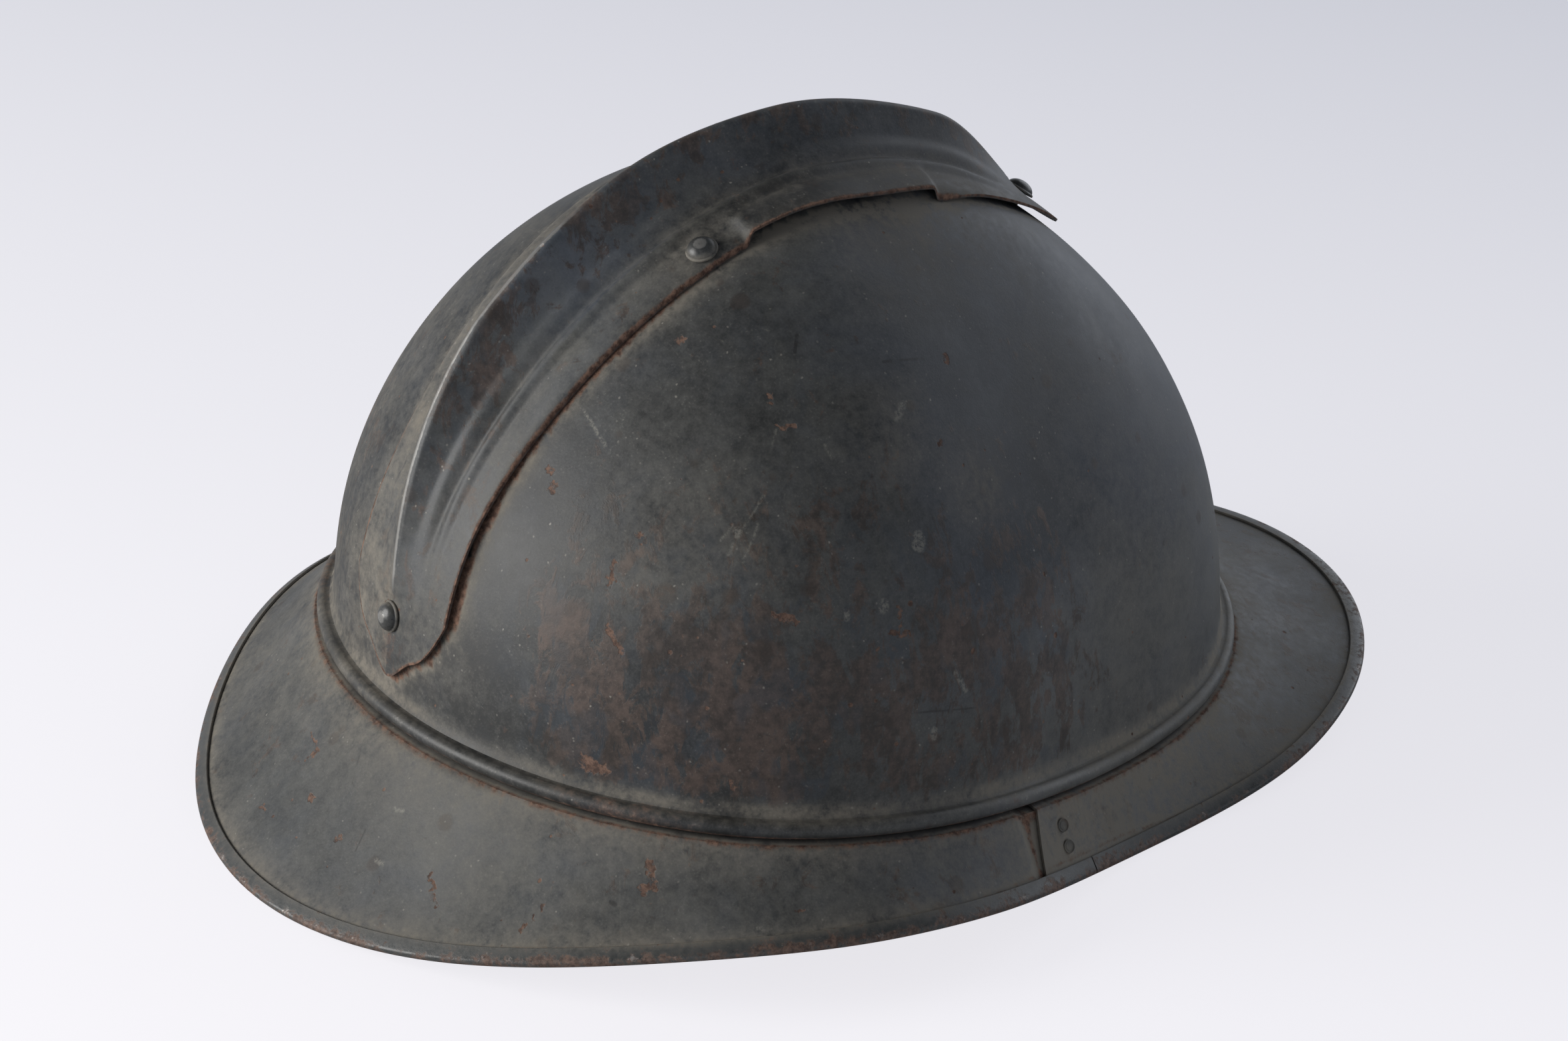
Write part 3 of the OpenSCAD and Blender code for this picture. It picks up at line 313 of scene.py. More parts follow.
def strip_paint():
    """The edge strip: paint on its faces, rubbed to brown steel on its fold."""
    f = Finish("strip_paint")
    middle, fine, grit = f.cloud(7, 5, 0.7), f.cloud(1.5, 4, 0.68), f.cloud(0.5, 2, 0.6)
    tone = (f.cloud(22, 5, 0.66) + (fine - 0.5) * 0.8 + (middle - 0.5) * 0.8).clamped()
    base = f.mixed(tone, (0.030, 0.034, 0.036), (0.092, 0.097, 0.096))
    dust_share = (f.mark("dust") * (1 + (middle - 0.5) * 2 + (fine - 0.5) * 2)).clamped()
    base = f.mixed(dust_share * 0.75, base, (0.24, 0.207, 0.158))
    rust = (f.mark("rust") * 0.95 + (middle - 0.5) * 2.2 + (fine - 0.5) * 1.6 - 0.16).eased(0.12, 0.6)
    rusty = f.mixed(f.cloud(1.1, 4, 0.7).eased(0.32, 0.68), (0.058, 0.034, 0.026), (0.20, 0.125, 0.092))
    base = f.mixed(rust * 0.92, base, rusty)
    bright = (f.mark("wear") * 0.8 + (f.cloud(3.5, 5, 0.7) - 0.5) * 2.6 + (grit - 0.5) * 0.8
              - 0.4).eased(0.15, 0.6)
    base = f.mixed(bright, base, (0.36, 0.34, 0.32))
    base = f.mixed(grit.eased(0.64, 0.78) * 0.35, base, (0.3, 0.27, 0.23))
    f.set(Base_Color=base, Metallic=bright * 0.8,
          Roughness=(0.40 + rust * 0.3 - bright * 0.12 + (fine - 0.5) * 0.3 + dust_share * 0.3
                     - f.mark("gloss") * 0.12).clamped())
    f.raise_by(fine * 0.035 + grit * 0.015 + middle * 0.05 - rust * 0.03)
    return f.material


def aged_leather(name, deep, worn, grain=0.9):
    """Leather with pebbled grain, soft creases and rubbed edges."""
    f = Finish(name)
    broad, middle, fine = f.cloud(26, 4, 0.6), f.cloud(6, 4, 0.6), f.cloud(1.0, 3, 0.6)
    pebbles = f.cells(grain, 0, "DISTANCE_TO_EDGE")
    base = f.mixed(broad.eased(0.3, 0.7), deep, worn)
    base = f.mixed(middle.eased(0.5, 0.75) * 0.5, base, tuple(c * 0.55 for c in deep))
    rubbed = (f.mark("wear") * (0.5 + middle) + (fine - 0.5) * 0.5).eased(0.35, 0.95)
    base = f.mixed(rubbed * 0.65, base, tuple(min(1, c * 1.9) for c in worn))
    crease = (f.cloud(4, 3, 0.5, 1.2, f.stretched(0.4, 0.4, 1.4)).eased(0.47, 0.5)
              * f.cloud(4, 3, 0.5, 1.2, f.stretched(0.4, 0.4, 1.4)).eased(0.53, 0.5))
    base = f.mixed(crease * 0.35, base, tuple(c * 0.35 for c in deep))
    base = f.mixed(pebbles.eased(0.12, 0.0) * 0.3, base, tuple(c * 0.4 for c in deep))
    f.set(Base_Color=base, Roughness=(0.55 + (middle - 0.5) * 0.3 + pebbles.eased(0.1, 0.0) * 0.15
                                      - rubbed * 0.1).clamped(), Specular_IOR_Level=0.4)
    f.raise_by(pebbles.eased(0.0, 0.25) * 0.07 + fine * 0.05 + middle * 0.18 - crease * 0.12)
    return f.material


def grey_felt():
    f = Finish("grey_felt")
    tufts, hairs = f.cloud(3, 5, 0.7, 0.6), f.cloud(0.5, 4, 0.8, 2.0, f.stretched(1, 1, 0.35))
    base = f.mixed(tufts, (0.17, 0.155, 0.125), (0.30, 0.275, 0.23))
    base = f.mixed(hairs.eased(0.5, 0.7) * 0.5, base, (0.42, 0.39, 0.33))
    f.set(Base_Color=base, Roughness=0.95, Sheen_Weight=0.4, Sheen_Roughness=0.6, Specular_IOR_Level=0.2)
    f.raise_by(tufts * 0.3 + hairs * 0.25)
    return f.material


def worn_metal(name, deep, pale, rust_level=0.5, size=5.0):
    """Bare wire or sheet that has dulled and spotted with rust."""
    f = Finish(name)
    middle, fine = f.cloud(size, 4, 0.65), f.cloud(0.7, 3, 0.6)
    rust = (middle + (fine - 0.5) * 0.5 - (0.82 - rust_level * 0.4)).eased(0.0, 0.2)
    base = f.mixed(f.cloud(2.4, 3, 0.6), deep, pale)
    base = f.mixed(rust, base, f.mixed(fine.eased(0.35, 0.65), (0.10, 0.045, 0.027), (0.24, 0.12, 0.07)))
    f.set(Base_Color=base, Metallic=1 - rust * 0.95,
          Roughness=(0.36 + rust * 0.45 + (fine - 0.5) * 0.25).clamped())
    f.raise_by(fine * 0.03 + rust * 0.04)
    return f.material


def spun_linen(name, deep, pale):
    f = Finish(name)
    fuzz, soil = f.cloud(0.35, 4, 0.75, 1.0), f.cloud(9, 4, 0.6)
    base = f.mixed(fuzz, deep, pale)
    base = f.mixed(soil.eased(0.45, 0.75) * 0.5, base, (0.16, 0.12, 0.08))
    f.set(Base_Color=base, Roughness=0.9, Sheen_Weight=0.25, Specular_IOR_Level=0.2)
    f.raise_by(fuzz * 0.12)
    return f.material


def pale_floor():
    """White table: it glows a little for the camera, so that shadows on it stay light."""
    f = Finish("pale_floor")
    # Painted light: the glow and the table's own colour both fall off towards the helmet's front and the
    # wearer's left, as the light does.
    away = (f.part("Y") * -0.00062 + f.part("X") * 0.00040 + 0.16).clamped()
    shade = f.mixed(away, (1.22, 1.20, 1.25), (0.46, 0.49, 0.59))
    f.set(Base_Color=f.mixed(away, (0.80, 0.80, 0.81), (0.55, 0.57, 0.62)), Roughness=0.9,
          Specular_IOR_Level=0.1)
    glow = f.node("ShaderNodeEmission", {}, {"Color": shade, "Strength": 1.0})
    seen = f.node("ShaderNodeLightPath", {}, {}, "Is Camera Ray")
    both = f.node("ShaderNodeMixShader", {}, {0: seen * 0.68, 1: Wire(f, f.shader.outputs[0]), 2: glow})
    f.links.new(both.socket, f.nodes["Material Output"].inputs[0])
    return f.material


STRIP = strip_paint()
LINER_HIDE = aged_leather("liner_hide", (0.115, 0.058, 0.028), (0.20, 0.105, 0.052))
STRAP_HIDE = aged_leather("strap_hide", (0.075, 0.036, 0.02), (0.125, 0.065, 0.036), 0.7)
FELT = grey_felt()
STEEL = worn_metal("dull_steel", (0.30, 0.285, 0.27), (0.46, 0.44, 0.42), 0.45)
ALLOY = worn_metal("dull_alloy", (0.48, 0.48, 0.48), (0.66, 0.66, 0.65), -0.6, 9)
LINEN = spun_linen("lace_linen", (0.36, 0.30, 0.21), (0.58, 0.51, 0.39))
THREAD = spun_linen("waxed_thread", (0.26, 0.19, 0.11), (0.42, 0.33, 0.21))


# Meshes, in millimetres

def piece(name, points, faces, finish, body="helmet", stands_for=(), slot=None, marks=None, sharp=38,
          worn=False):
    points = np.asarray(points, float).reshape(-1, 3)
    if worn:
        points = dented(points)
    mesh = bpy.data.meshes.new(name)
    mesh.from_pydata((points * MM).tolist(), [], [tuple(int(i) for i in f) for f in faces])
    mesh.validate()
    mesh.update()
    made = bpy.data.objects.new(name, mesh)
    bpy.context.scene.collection.objects.link(made)
    finish_piece(made, finish, body, stands_for, slot, marks, sharp)
    return made


def finish_piece(made, finish, body, stands_for=(), slot=None, marks=None, sharp=38):
    mesh = made.data
    mesh.materials.clear()
    mesh.materials.append(finish)
    mesh.shade_smooth()
    mesh.set_sharp_from_angle(angle=math.radians(sharp))
    if marks:
        spots = np.empty(len(mesh.vertices) * 3, "f")
        mesh.vertices.foreach_get("co", spots)
        for name, values in marks(spots.reshape(-1, 3) / MM).items():
            layer = mesh.attributes.new(name, "FLOAT", "POINT")
            values = np.broadcast_to(np.clip(values, 0, 1), len(mesh.vertices))
            layer.data.foreach_set("value", np.ascontiguousarray(values, "f"))
    if body:
        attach(made, body)
    if stands_for:
        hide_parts(*stands_for)


DENT_RNG, DENT_DEPTH, DENT_LENGTHS = np.random.default_rng(7), 0.055, (95, 80, 66, 55, 46, 38, 32)
DENT_WAVES = [(v / np.linalg.norm(v) * 2 * math.pi / size, DENT_RNG.uniform(0, 6.28), DENT_RNG.normal(size=3))
              for v, size in zip(DENT_RNG.normal(size=(len(DENT_LENGTHS), 3)), DENT_LENGTHS)]


def dented(points):
    """The same soft unevenness for every sheet of the shell, so that they stay together."""
    shift = np.zeros_like(points)
    for k, phase, way in DENT_WAVES:
        shift += np.sin(points @ k + phase)[:, None] * way * DENT_DEPTH
    return points + shift


def skin(rows, ring=False):
    """Rows of closed sections, each listed along one face and back along the other."""
    rows = np.asarray(rows, float)
    m, n = rows.shape[:2]
    j, i = np.meshgrid(np.arange(m if ring else m - 1), np.arange(n), indexing="ij")
    a, b = j * n + i, j * n + (i + 1) % n
    c, d = ((j + 1) % m) * n + i, ((j + 1) % m) * n + (i + 1) % n
    faces = np.stack([a, b, d, c], -1).reshape(-1, 4).tolist()
    if not ring:
        last = (m - 1) * n
        for k in range(n // 2 - 1):
            faces.append([k, n - 1 - k, n - 2 - k, k + 1])
            faces.append([last + k, last + k + 1, last + n - 2 - k, last + n - 1 - k])
    return rows.reshape(-1, 3), faces


def tube(path, radius, sides=12, closed=False):
    """A round rod along a path, with domed ends. Radius may be a list."""
    path = np.asarray(path, float)
    n = len(path)
    ahead = np.roll(path, -1, 0) - np.roll(path, 1, 0) if closed else np.gradient(path, axis=0)
    ahead /= np.linalg.norm(ahead, axis=1)[:, None]
    radius = np.broadcast_to(np.asarray(radius, float), n)
    up = np.cross(ahead[0], [0.31, 0.22, 0.93])
    up /= np.linalg.norm(up)
    turn = np.linspace(0, 2 * math.pi, sides, endpoint=False)[:, None]
    rings = []
    for k in range(n):
        up = up - ahead[k] * up.dot(ahead[k])
        up /= np.linalg.norm(up)
        side = np.cross(ahead[k], up)
        rings.append(path[k] + radius[k] * (np.cos(turn) * up + np.sin(turn) * side))
    points, faces = skin(rings, closed)
    if not closed:
        faces = faces[:(n - 1) * sides]
        faces += [list(range(sides))[::-1], [(n - 1) * sides + k for k in range(sides)]]
    return points, faces


def together(*parts):
    points, faces, count = [], [], 0
    for p, f in parts:
        points.append(np.asarray(p, float).reshape(-1, 3))
        faces += [[i + count for i in face] for face in f]
        count += len(points[-1])
    return np.concatenate(points), faces


def lathe(profile, sides=40):
    """A turned form: (radius, height) pairs, both ends on the axis."""
    turn = np.linspace(0, 2 * math.pi, sides, endpoint=False)
    inner = profile[1:-1]
    rings = [[(r * math.cos(a), r * math.sin(a), z) for a in turn] for r, z in inner]
    points = [(0, 0, profile[0][1])] + [p for ring in rings for p in ring] + [(0, 0, profile[-1][1])]
    faces, last = [], len(points) - 1
    for k in range(sides):
        n = (k + 1) % sides
        faces.append([0, 1 + n, 1 + k])
        for r in range(len(inner) - 1):
            o = 1 + r * sides
            faces.append([o + k, o + n, o + sides + n, o + sides + k])
        o = 1 + (len(inner) - 1) * sides
        faces.append([last, o + k, o + n])
    return np.array(points, float), [f[::-1] for f in faces]


def moved(part, place):
    points, faces = part
    place = np.asarray(place, float)
    return points @ place[:3, :3].T + place[:3, 3], faces


def frame_at(origin, x, y, z):
    place = np.eye(4)
    place[:3, 0], place[:3, 1], place[:3, 2], place[:3, 3] = x, y, z, origin
    return place


def mirrored(part):
    """The part on the wearer's other side."""
    points, faces = part
    return np.asarray(points) * [-1, 1, 1], [list(f)[::-1] for f in faces]


def unit(v):
    v = np.asarray(v, float)
    return v / np.linalg.norm(v, axis=-1, keepdims=True)


def soft(k):
    k = np.clip(k, 0, 1)
    return k * k * (3 - 2 * k)


def lerp(a, b, k):
    return a + (b - a) * k


def cosd(t):
    return np.cos(np.radians(t))


def sind(t):
    return np.sin(np.radians(t))


# The shell's outlines, as in the part's source

def waves(values):
    """Cosine terms of a smooth outline through values at equal turns from the back to the front."""
    n = len(values) - 1
    k = np.arange(n + 1)[:, None]
    j = np.arange(1, n)[None]
    inside = 2 * (np.asarray(values[1:-1]) * cosd(180 * k * j / n)).sum(1)
    total = values[0] + values[-1] * cosd(180 * k[:, 0]) + inside
    return total / np.where((k[:, 0] == 0) | (k[:, 0] == n), 2 * n, n)


def curve(w, t):
    return sum(w[k] * cosd(k * np.asarray(t, float)) for k in range(6))


RIM_R, RIM_Z = waves([135, 126.5, 114.5, 96.5, 126.5, 155]), waves([0, 8.5, 13.5, 1.5, 4, 10.5])
BEAD_R, BEAD_Z = waves([101.5, 103, 99.5, 87.5, 102, 116]), waves([32.5, 32, 28.5, 18.5, 16.5, 21])
BOWL_Y, STEEL_T, BEAD_D, BEAD_OUT, BEAD_UP = 10.0, 0.7, 3.6, 4.0, 4.0
FLANK, CROWN, RISE, FLARE = 1.36, 1.14, 0.925, 1.2
COLLAR_H, LAP_GAP, SEAM_AT, SEAM_LEAN = 5.0, 0.15, 92.5, 2.5
STRIP_W, STRIP_T, STRIP_GAP, STRIP_JOINT, JOINT_GAP = 3.9, 0.5, 0.15, 103.5, 0.4
STRIP_R = STEEL_T / 2 + STRIP_GAP + STRIP_T
SIT = 0.0


def slope(t, q):
    """Reach and height of the brim's upper face at turn t, from the bead (q 0) to the strip (q 1)."""
    r0, z0 = curve(BEAD_R, t) + 0.6, curve(BEAD_Z, t) - 0.8
    r1, z1 = curve(RIM_R, t) - STRIP_R, curve(RIM_Z, t) + STRIP_R + STEEL_T / 2
    return np.stack([lerp(r0, r1, q), lerp(z0, z1, q) - FLARE * sind(180 * q) + SIT], -1)


def strip_section(t, step=15):
    a, b = slope(t, 0.86), slope(t, 1.0)
    e = unit(b - a)
    n = np.stack([-e[..., 1], e[..., 0]], -1)
    o = b - STEEL_T / 2 * n
    leg, core = STRIP_W - STRIP_R, STRIP_R - STRIP_T
    arc = range(90, -91, -step)
    lip = [(leg, STRIP_R - 0.12), (leg - 0.12, STRIP_R)]
    outer = [o - d * e + h * n for d, h in lip] + [o - leg * 0.5 * e + STRIP_R * n]
    outer += [o + STRIP_R * (math.cos(math.radians(k)) * e + math.sin(math.radians(k)) * n) for k in arc]
    outer += [o - leg * 0.5 * e - STRIP_R * n] + [o - d * e - h * n for d, h in reversed(lip)]
    inner = [o - leg * e + core * n, o - leg * 0.8 * e + core * n, o - leg * 0.5 * e + core * n]
    inner += [o + core * (math.cos(math.radians(k)) * e + math.sin(math.radians(k)) * n) for k in arc]
    inner += [o - leg * 0.5 * e - core * n, o - leg * 0.8 * e - core * n, o - leg * e - core * n]
    return np.stack(outer + inner[::-1], -2)


# Half the open joint of the strip, in degrees, and the lift that sets the strip's lowest point on the table
HALF_GAP = math.degrees(JOINT_GAP / 2 / float(curve(RIM_R, STRIP_JOINT)))
STRIP_TURNS = np.linspace(STRIP_JOINT + HALF_GAP, STRIP_JOINT + 360 - HALF_GAP, 69)
SIT = -float(strip_section(STRIP_TURNS)[..., 1].min())


def bead_r(t):
    return curve(BEAD_R, t)


def bead_z(t):
    return curve(BEAD_Z, t) + SIT


def wall_r(t):
    return bead_r(t) - BEAD_OUT


def foot_z(t):
    return bead_z(t) + BEAD_UP


TOP_Z, POLE_Z = 142 + SIT, 30 + SIT


def place(t, r, z):
    t, r, z = np.broadcast_arrays(np.asarray(t, float), r, z)
    return np.stack([-r * sind(t), BOWL_Y + r * cosd(t), z], -1)


def turned(t, section):
    return place(np.asarray(t, float)[..., None], section[..., 0], section[..., 1])


def dome_r(t, s, g):
    return (wall_r(t) + g) * np.maximum(cosd(s), 1e-9) ** lerp(FLANK, CROWN, sind(s) ** 2)


def dome_z(t, s, g):
    return foot_z(t) + (TOP_Z + g - foot_z(t)) * np.clip(sind(s), 0, 1) ** RISE


def wall_at(t, z, g):
    k = np.clip((z - foot_z(t)) / (TOP_Z + g - foot_z(t)), 0, 1)
    return dome_r(t, np.degrees(np.arcsin(k ** (1 / RISE))), g)


def outside(p, g):
    """How far a point lies outside the dome grown by g; less than 0 inside it."""
    x, y = p[..., 0], p[..., 1] - BOWL_Y
    return (np.hypot(x, y) - wall_at(np.degrees(np.arctan2(-x, y)), p[..., 2], g)
            + np.maximum(0, p[..., 2] - TOP_Z - g))


def over(a, x, d):
    a, x, d = np.broadcast_arrays(np.asarray(a, float), x, d)
    return np.stack([x, BOWL_Y + d * cosd(a), POLE_Z + d * sind(a)], -1)


def on_bowl(a, x, g):
    """The point at angle a over the top and x aside where the dome grown by g is met."""
    a, x, g = np.broadcast_arrays(np.asarray(a, float), x, g)
    low, high = np.full(a.shape, 30.0), np.full(a.shape, 190.0)
    for _ in range(26):
        half = (low + high) / 2
        out = outside(over(a, x, half), g) > 0
        high, low = np.where(out, half, high), np.where(out, low, half)
    return over(a, x, (low + high) / 2)


def bowl_normal(p, e=0.05):
    step = np.eye(3) * e
    return unit([float(outside(p + s, 0) - outside(p - s, 0)) for s in step])


# The crest's outline: angles run over the top from the rear, and a degree is 1.75 to 2 mm on the sheet
CREST_START, CREST_END, CREST_LEVEL, JOGGLE = 6.5, 132.0, 26.0, 1.4
VENT_START, VENT_END, VENT_GAP, LEFT_AHEAD = 76.0, 104.5, 2.5, 16.5
CREST_GAP, CREST_T, FLUTE_H, COMB_RIDGE, COMB_FOOT = 0.3, 0.6, 1.1, 1.3, 10.0
SLOT_HALF, SLOT_REACH = 7.0, 14.0


def crest_half(a):
    return np.where(a < 80, lerp(18.8, 24.4, soft((a - 25) / 50)), lerp(24.4, 19.0, soft((a - 85) / 30)))


def back_cut(u):
    return 3 * soft(np.abs(u) / 0.5) + 8 * np.abs(u) ** 3.5


def front_cut(u):
    x = np.minimum(np.abs(u), 1)
    return (CREST_END - VENT_END - 1.5) * (1 - (1 - x ** 1.8) ** 0.75)


def crest_angle(kind, k, u):
    back = lerp(CREST_START + back_cut(u), CREST_LEVEL, k)
    front = lerp(VENT_END, CREST_END - front_cut(u), k)
    return np.where(kind == 0, back, np.where(kind == 1, k, front))


def flange_at(a, u):
    return (lerp(1.4, 2.0, soft((a - CREST_START) / 25))
            + soft((a - VENT_END - 8) / 14) * (1 - 0.8 * np.abs(u) ** 1.5))


def bump(x, c, w):
    return np.where(np.abs(x - c) > w, 0, (1 + cosd(180 * (x - c) / w)) / 2)


def relief(a, x, w):
    k = np.clip((a - 14) / 35, 0, 1)
    share = (k + soft(k)) / 2 * (1 - soft((a - 109) / 18))
    comb = (lerp(13.6, 11.0, soft((a - 70) / 20)) - 2.0) * share
    wall = np.clip(1 - (x - COMB_RIDGE) / (COMB_FOOT - COMB_RIDGE), 0, None) ** 1.7
    top = np.where(x < COMB_RIDGE, 1 - 0.05 * (x / COMB_RIDGE) ** 2, 0.95 * np.minimum(wall, 1))
    fade = soft((a - 16) / 25) * (1 - soft((a - 108) / 16))
    return comb * top + FLUTE_H * fade * (bump(x, 0.36 * w, 0.13 * w) + bump(x, 0.56 * w, 0.12 * w))


SIDE_RIVET_X = float(crest_half(71.8)) - 4.5
RIVET_SPOTS = ((14.5, 0.0), (71.8 + LEFT_AHEAD, SIDE_RIVET_X), (71.8, -SIDE_RIVET_X), (125.0, 0.0))


def crest_height(a, u):
    w, low = crest_half(a), CREST_GAP + CREST_T
    d = np.clip((1 - np.abs(u)) / 0.12, 0, 1)
    fall = 1 - soft((a - 25) / 25) * (1 - np.sqrt(1 - (1 - d) ** 2))
    start = VENT_START + np.where(u > 0, LEFT_AHEAD, 0)
    vent = soft((a - start) / JOGGLE) * soft((VENT_END - a) / JOGGLE) * soft((np.abs(u) - 0.55) / 0.3)
    flat = np.min([soft((np.hypot((a - at) * 1.85, u * w - x) - 4.1) / 2.5) for at, x in RIVET_SPOTS], 0)
    sheet = low + (flange_at(a, u) - low) * fall + relief(a, np.abs(u) * w, w) * flat
    return lerp(sheet, VENT_GAP + low, vent)


def beyond_crest(p):
    """How far a point of the bowl lies outside the crest's outline; less than 0 under it."""
    y, z = p[:, 1] - BOWL_Y, p[:, 2] - POLE_Z
    a = np.degrees(np.arctan2(z, y))
    u = np.clip(p[:, 0] / crest_half(a), -1, 1)
    arc = math.pi / 180 * np.hypot(y, z)
    aside = np.abs(p[:, 0]) - crest_half(a)
    behind = (CREST_START + back_cut(u) - a) * arc
    ahead = np.where(a > VENT_END, (a - CREST_END + front_cut(u)) * arc, -99)
    return np.maximum(aside, np.maximum(behind, ahead)), a


def around(p):
    """Turn from the back, reach from the bowl's middle, and height."""
    x, y = p[:, 0], p[:, 1] - BOWL_Y
    return np.degrees(np.arctan2(np.abs(x), y)), np.hypot(x, y), p[:, 2], x < 0


# Marks, picked in the photograph

# Each has the pixels of its two ends in the 2361 by 1568 frame, and half a width in millimetres
DOME_SCRATCHES = {
    "pair_left": ((1150, 747), (1096, 835), 0.35), "pair_right": ((1142, 790), (1118, 848), 0.3),
    "pair_foot": ((1102, 792), (1085, 815), 0.3), "pair_blot": ((1110, 799), (1110, 806), 0.9),
    "high_long": ((1045, 455), (1160, 500), 0.12), "high_low": ((1000, 475), (1090, 515), 0.12),
    "by_the_crest": ((880, 620), (912, 672), 0.45), "mid_short": ((1240, 670), (1253, 690), 0.3),
    "mid_upright": ((1168, 648), (1163, 670), 0.25), "pale_middle": ((1330, 909), (1330, 916), 1.2),
    "pale_right": ((1382, 811), (1382, 821), 1.7), "pale_low": ((1407, 1101), (1407, 1111), 0.9),
    "pale_long": ((1440, 1015), (1455, 1040), 0.7), "pale_left": ((1275, 924), (1275, 931), 0.8),
    "dusty_high": ((1350, 630), (1360, 610), 0.9)}
DOME_CHIPS = {
    "large": ((882, 1147), (891, 1152), 1.5), "beside_large": ((904, 1157), (910, 1159), 0.9),
    "flat": ((1170, 927), (1195, 935), 0.5), "t_stem": ((1355, 917), (1356, 950), 0.2),
    "t_foot": ((1345, 953), (1368, 956), 0.35), "high_left": ((1020, 511), (1026, 514), 0.5),
    "high_flat": ((1175, 642), (1195, 640), 0.25), "high_middle": ((1160, 594), (1160, 601), 0.3),
    "right": ((1415, 662), (1415, 669), 0.4), "high_right": ((1425, 537), (1425, 544), 0.4),
    "drip": ((925, 845), (918, 885), 0.3), "drip_foot": ((917, 945), (935, 980), 0.35),
    "blister": ((960, 805), (968, 815), 0.4), "low_middle": ((1102, 1180), (1107, 1184), 0.4),
    "crest_upper": ((825, 705), (829, 709), 0.4), "crest_lower": ((832, 731), (831, 739), 0.5)}
DOME_SCORES = {
    "low_left": ((1305, 1080), (1400, 1072), 0.12), "low_right": ((1400, 1072), (1470, 1066), 0.12),
    "lowest": ((1250, 1106), (1330, 1092), 0.1), "high_upright": ((1200, 505), (1195, 545), 0.3),
    "high_flat": ((1330, 545), (1390, 540), 0.25)}
BRIM_SCRATCHES = {
    "faint": ((933, 1320), (935, 1419), 0.08), "pale_pair": ((566, 1296), (577, 1302), 0.6),
    "pale_inner": ((595, 1218), (606, 1222), 0.5), "pale_side": ((1141, 1398), (1148, 1399), 0.5)}
BRIM_CHIPS = {
    "hook_stem": ((468, 1103), (478, 1130), 0.15), "hook_foot": ((478, 1130), (462, 1144), 0.15),
    "wedge_stem": ((980, 1302), (984, 1336), 0.55), "wedge_foot": ((984, 1336), (966, 1340), 0.75),
    "red_upper": ((650, 1317), (652, 1340), 0.15), "red_lower": ((652, 1350), (658, 1363), 0.1),
    "dot_first": ((818, 1362), (818, 1367), 0.1), "dot_second": ((802, 1378), (802, 1383), 0.1),
    "dot_last": ((790, 1395), (785, 1405), 0.15), "rear_outer": ((393, 1215), (397, 1219), 0.3),
    "rear_middle": ((466, 1200), (471, 1204), 0.3), "side": ((1200, 1372), (1207, 1372), 0.2),
    "rear_red": ((505, 1262), (509, 1265), 0.3), "by_the_bead": ((878, 1302), (884, 1304), 0.2)}
BRIM_SCORES = {
    "rear_inner": ((543, 1128), (530, 1180), 0.15), "rear_outer": ((550, 1250), (535, 1282), 0.15),
    "side": ((920, 1359), (926, 1363), 0.4)}
SEAM_RIVET_TURN, SEAM_RIVET_SHARES = SEAM_AT + 7.0, (0.25, 0.52)
SIGHT_FROM, SIGHT_TO, SIGHT_STEP = 640.0, 1000.0, 0.25


def above_dome(p):
    return outside(p, 0)


def above_brim(p):
    """Height over the brim's slope, and 1 where there is no brim below."""
    x, y = p[..., 0], p[..., 1] - BOWL_Y
    t = np.degrees(np.arctan2(-x, y))
    inner, outer = slope(t, 0.0)[..., 0], slope(t, 1.0)[..., 0]
    q = (np.hypot(x, y) - inner) / (outer - inner)
    return np.where((q < 0) | (q > 1), 1.0, p[..., 2] - slope(t, np.clip(q, 0, 1))[..., 1])


def seen_at(pixel, surface):
    """Where the line of sight through a pixel first meets a surface."""
    eye, across, above, back = camera_axes()
    per_pixel = SENSOR_W / LENS / FRAME_W
    line = (-back + (pixel[0] - FRAME_W / 2) * per_pixel * across
            - (pixel[1] - FRAME_H / 2) * per_pixel * above)
    line /= np.linalg.norm(line)
    steps = np.arange(SIGHT_FROM, SIGHT_TO, SIGHT_STEP)
    low = steps[np.argmax(surface(eye + steps[:, None] * line) < 0) - 1]
    high = low + SIGHT_STEP
    for _ in range(16):
        half = (low + high) / 2
        if surface(eye + half * line) < 0:
            high = half
        else:
            low = half
    return tuple((eye + high * line).tolist())


def laid(marks, surface):
    """The ends of the marks as points on the surface."""
    return [(seen_at(start, surface), seen_at(end, surface), half) for start, end, half in marks.values()]


def on_brim(t, q):
    return tuple(place(t, *slope(t, q)).tolist())


PAINT = shell_paint("shell_paint")
DOME_PAINT = shell_paint(
    "shell_paint_dome", *(laid(marks, above_dome) for marks in (DOME_SCRATCHES, DOME_CHIPS, DOME_SCORES)))
SEAM_RIVETS = [on_brim(side * SEAM_RIVET_TURN, q) for side in (1, -1) for q in SEAM_RIVET_SHARES]
BRIM_PAINT = shell_paint(
    "shell_paint_brim", *(laid(marks, above_brim) for marks in (BRIM_SCRATCHES, BRIM_CHIPS, BRIM_SCORES)),
    SEAM_RIVETS)


# Bowl

def blob(x, at, wide):
    return np.exp(-((x - at) / wide) ** 2)


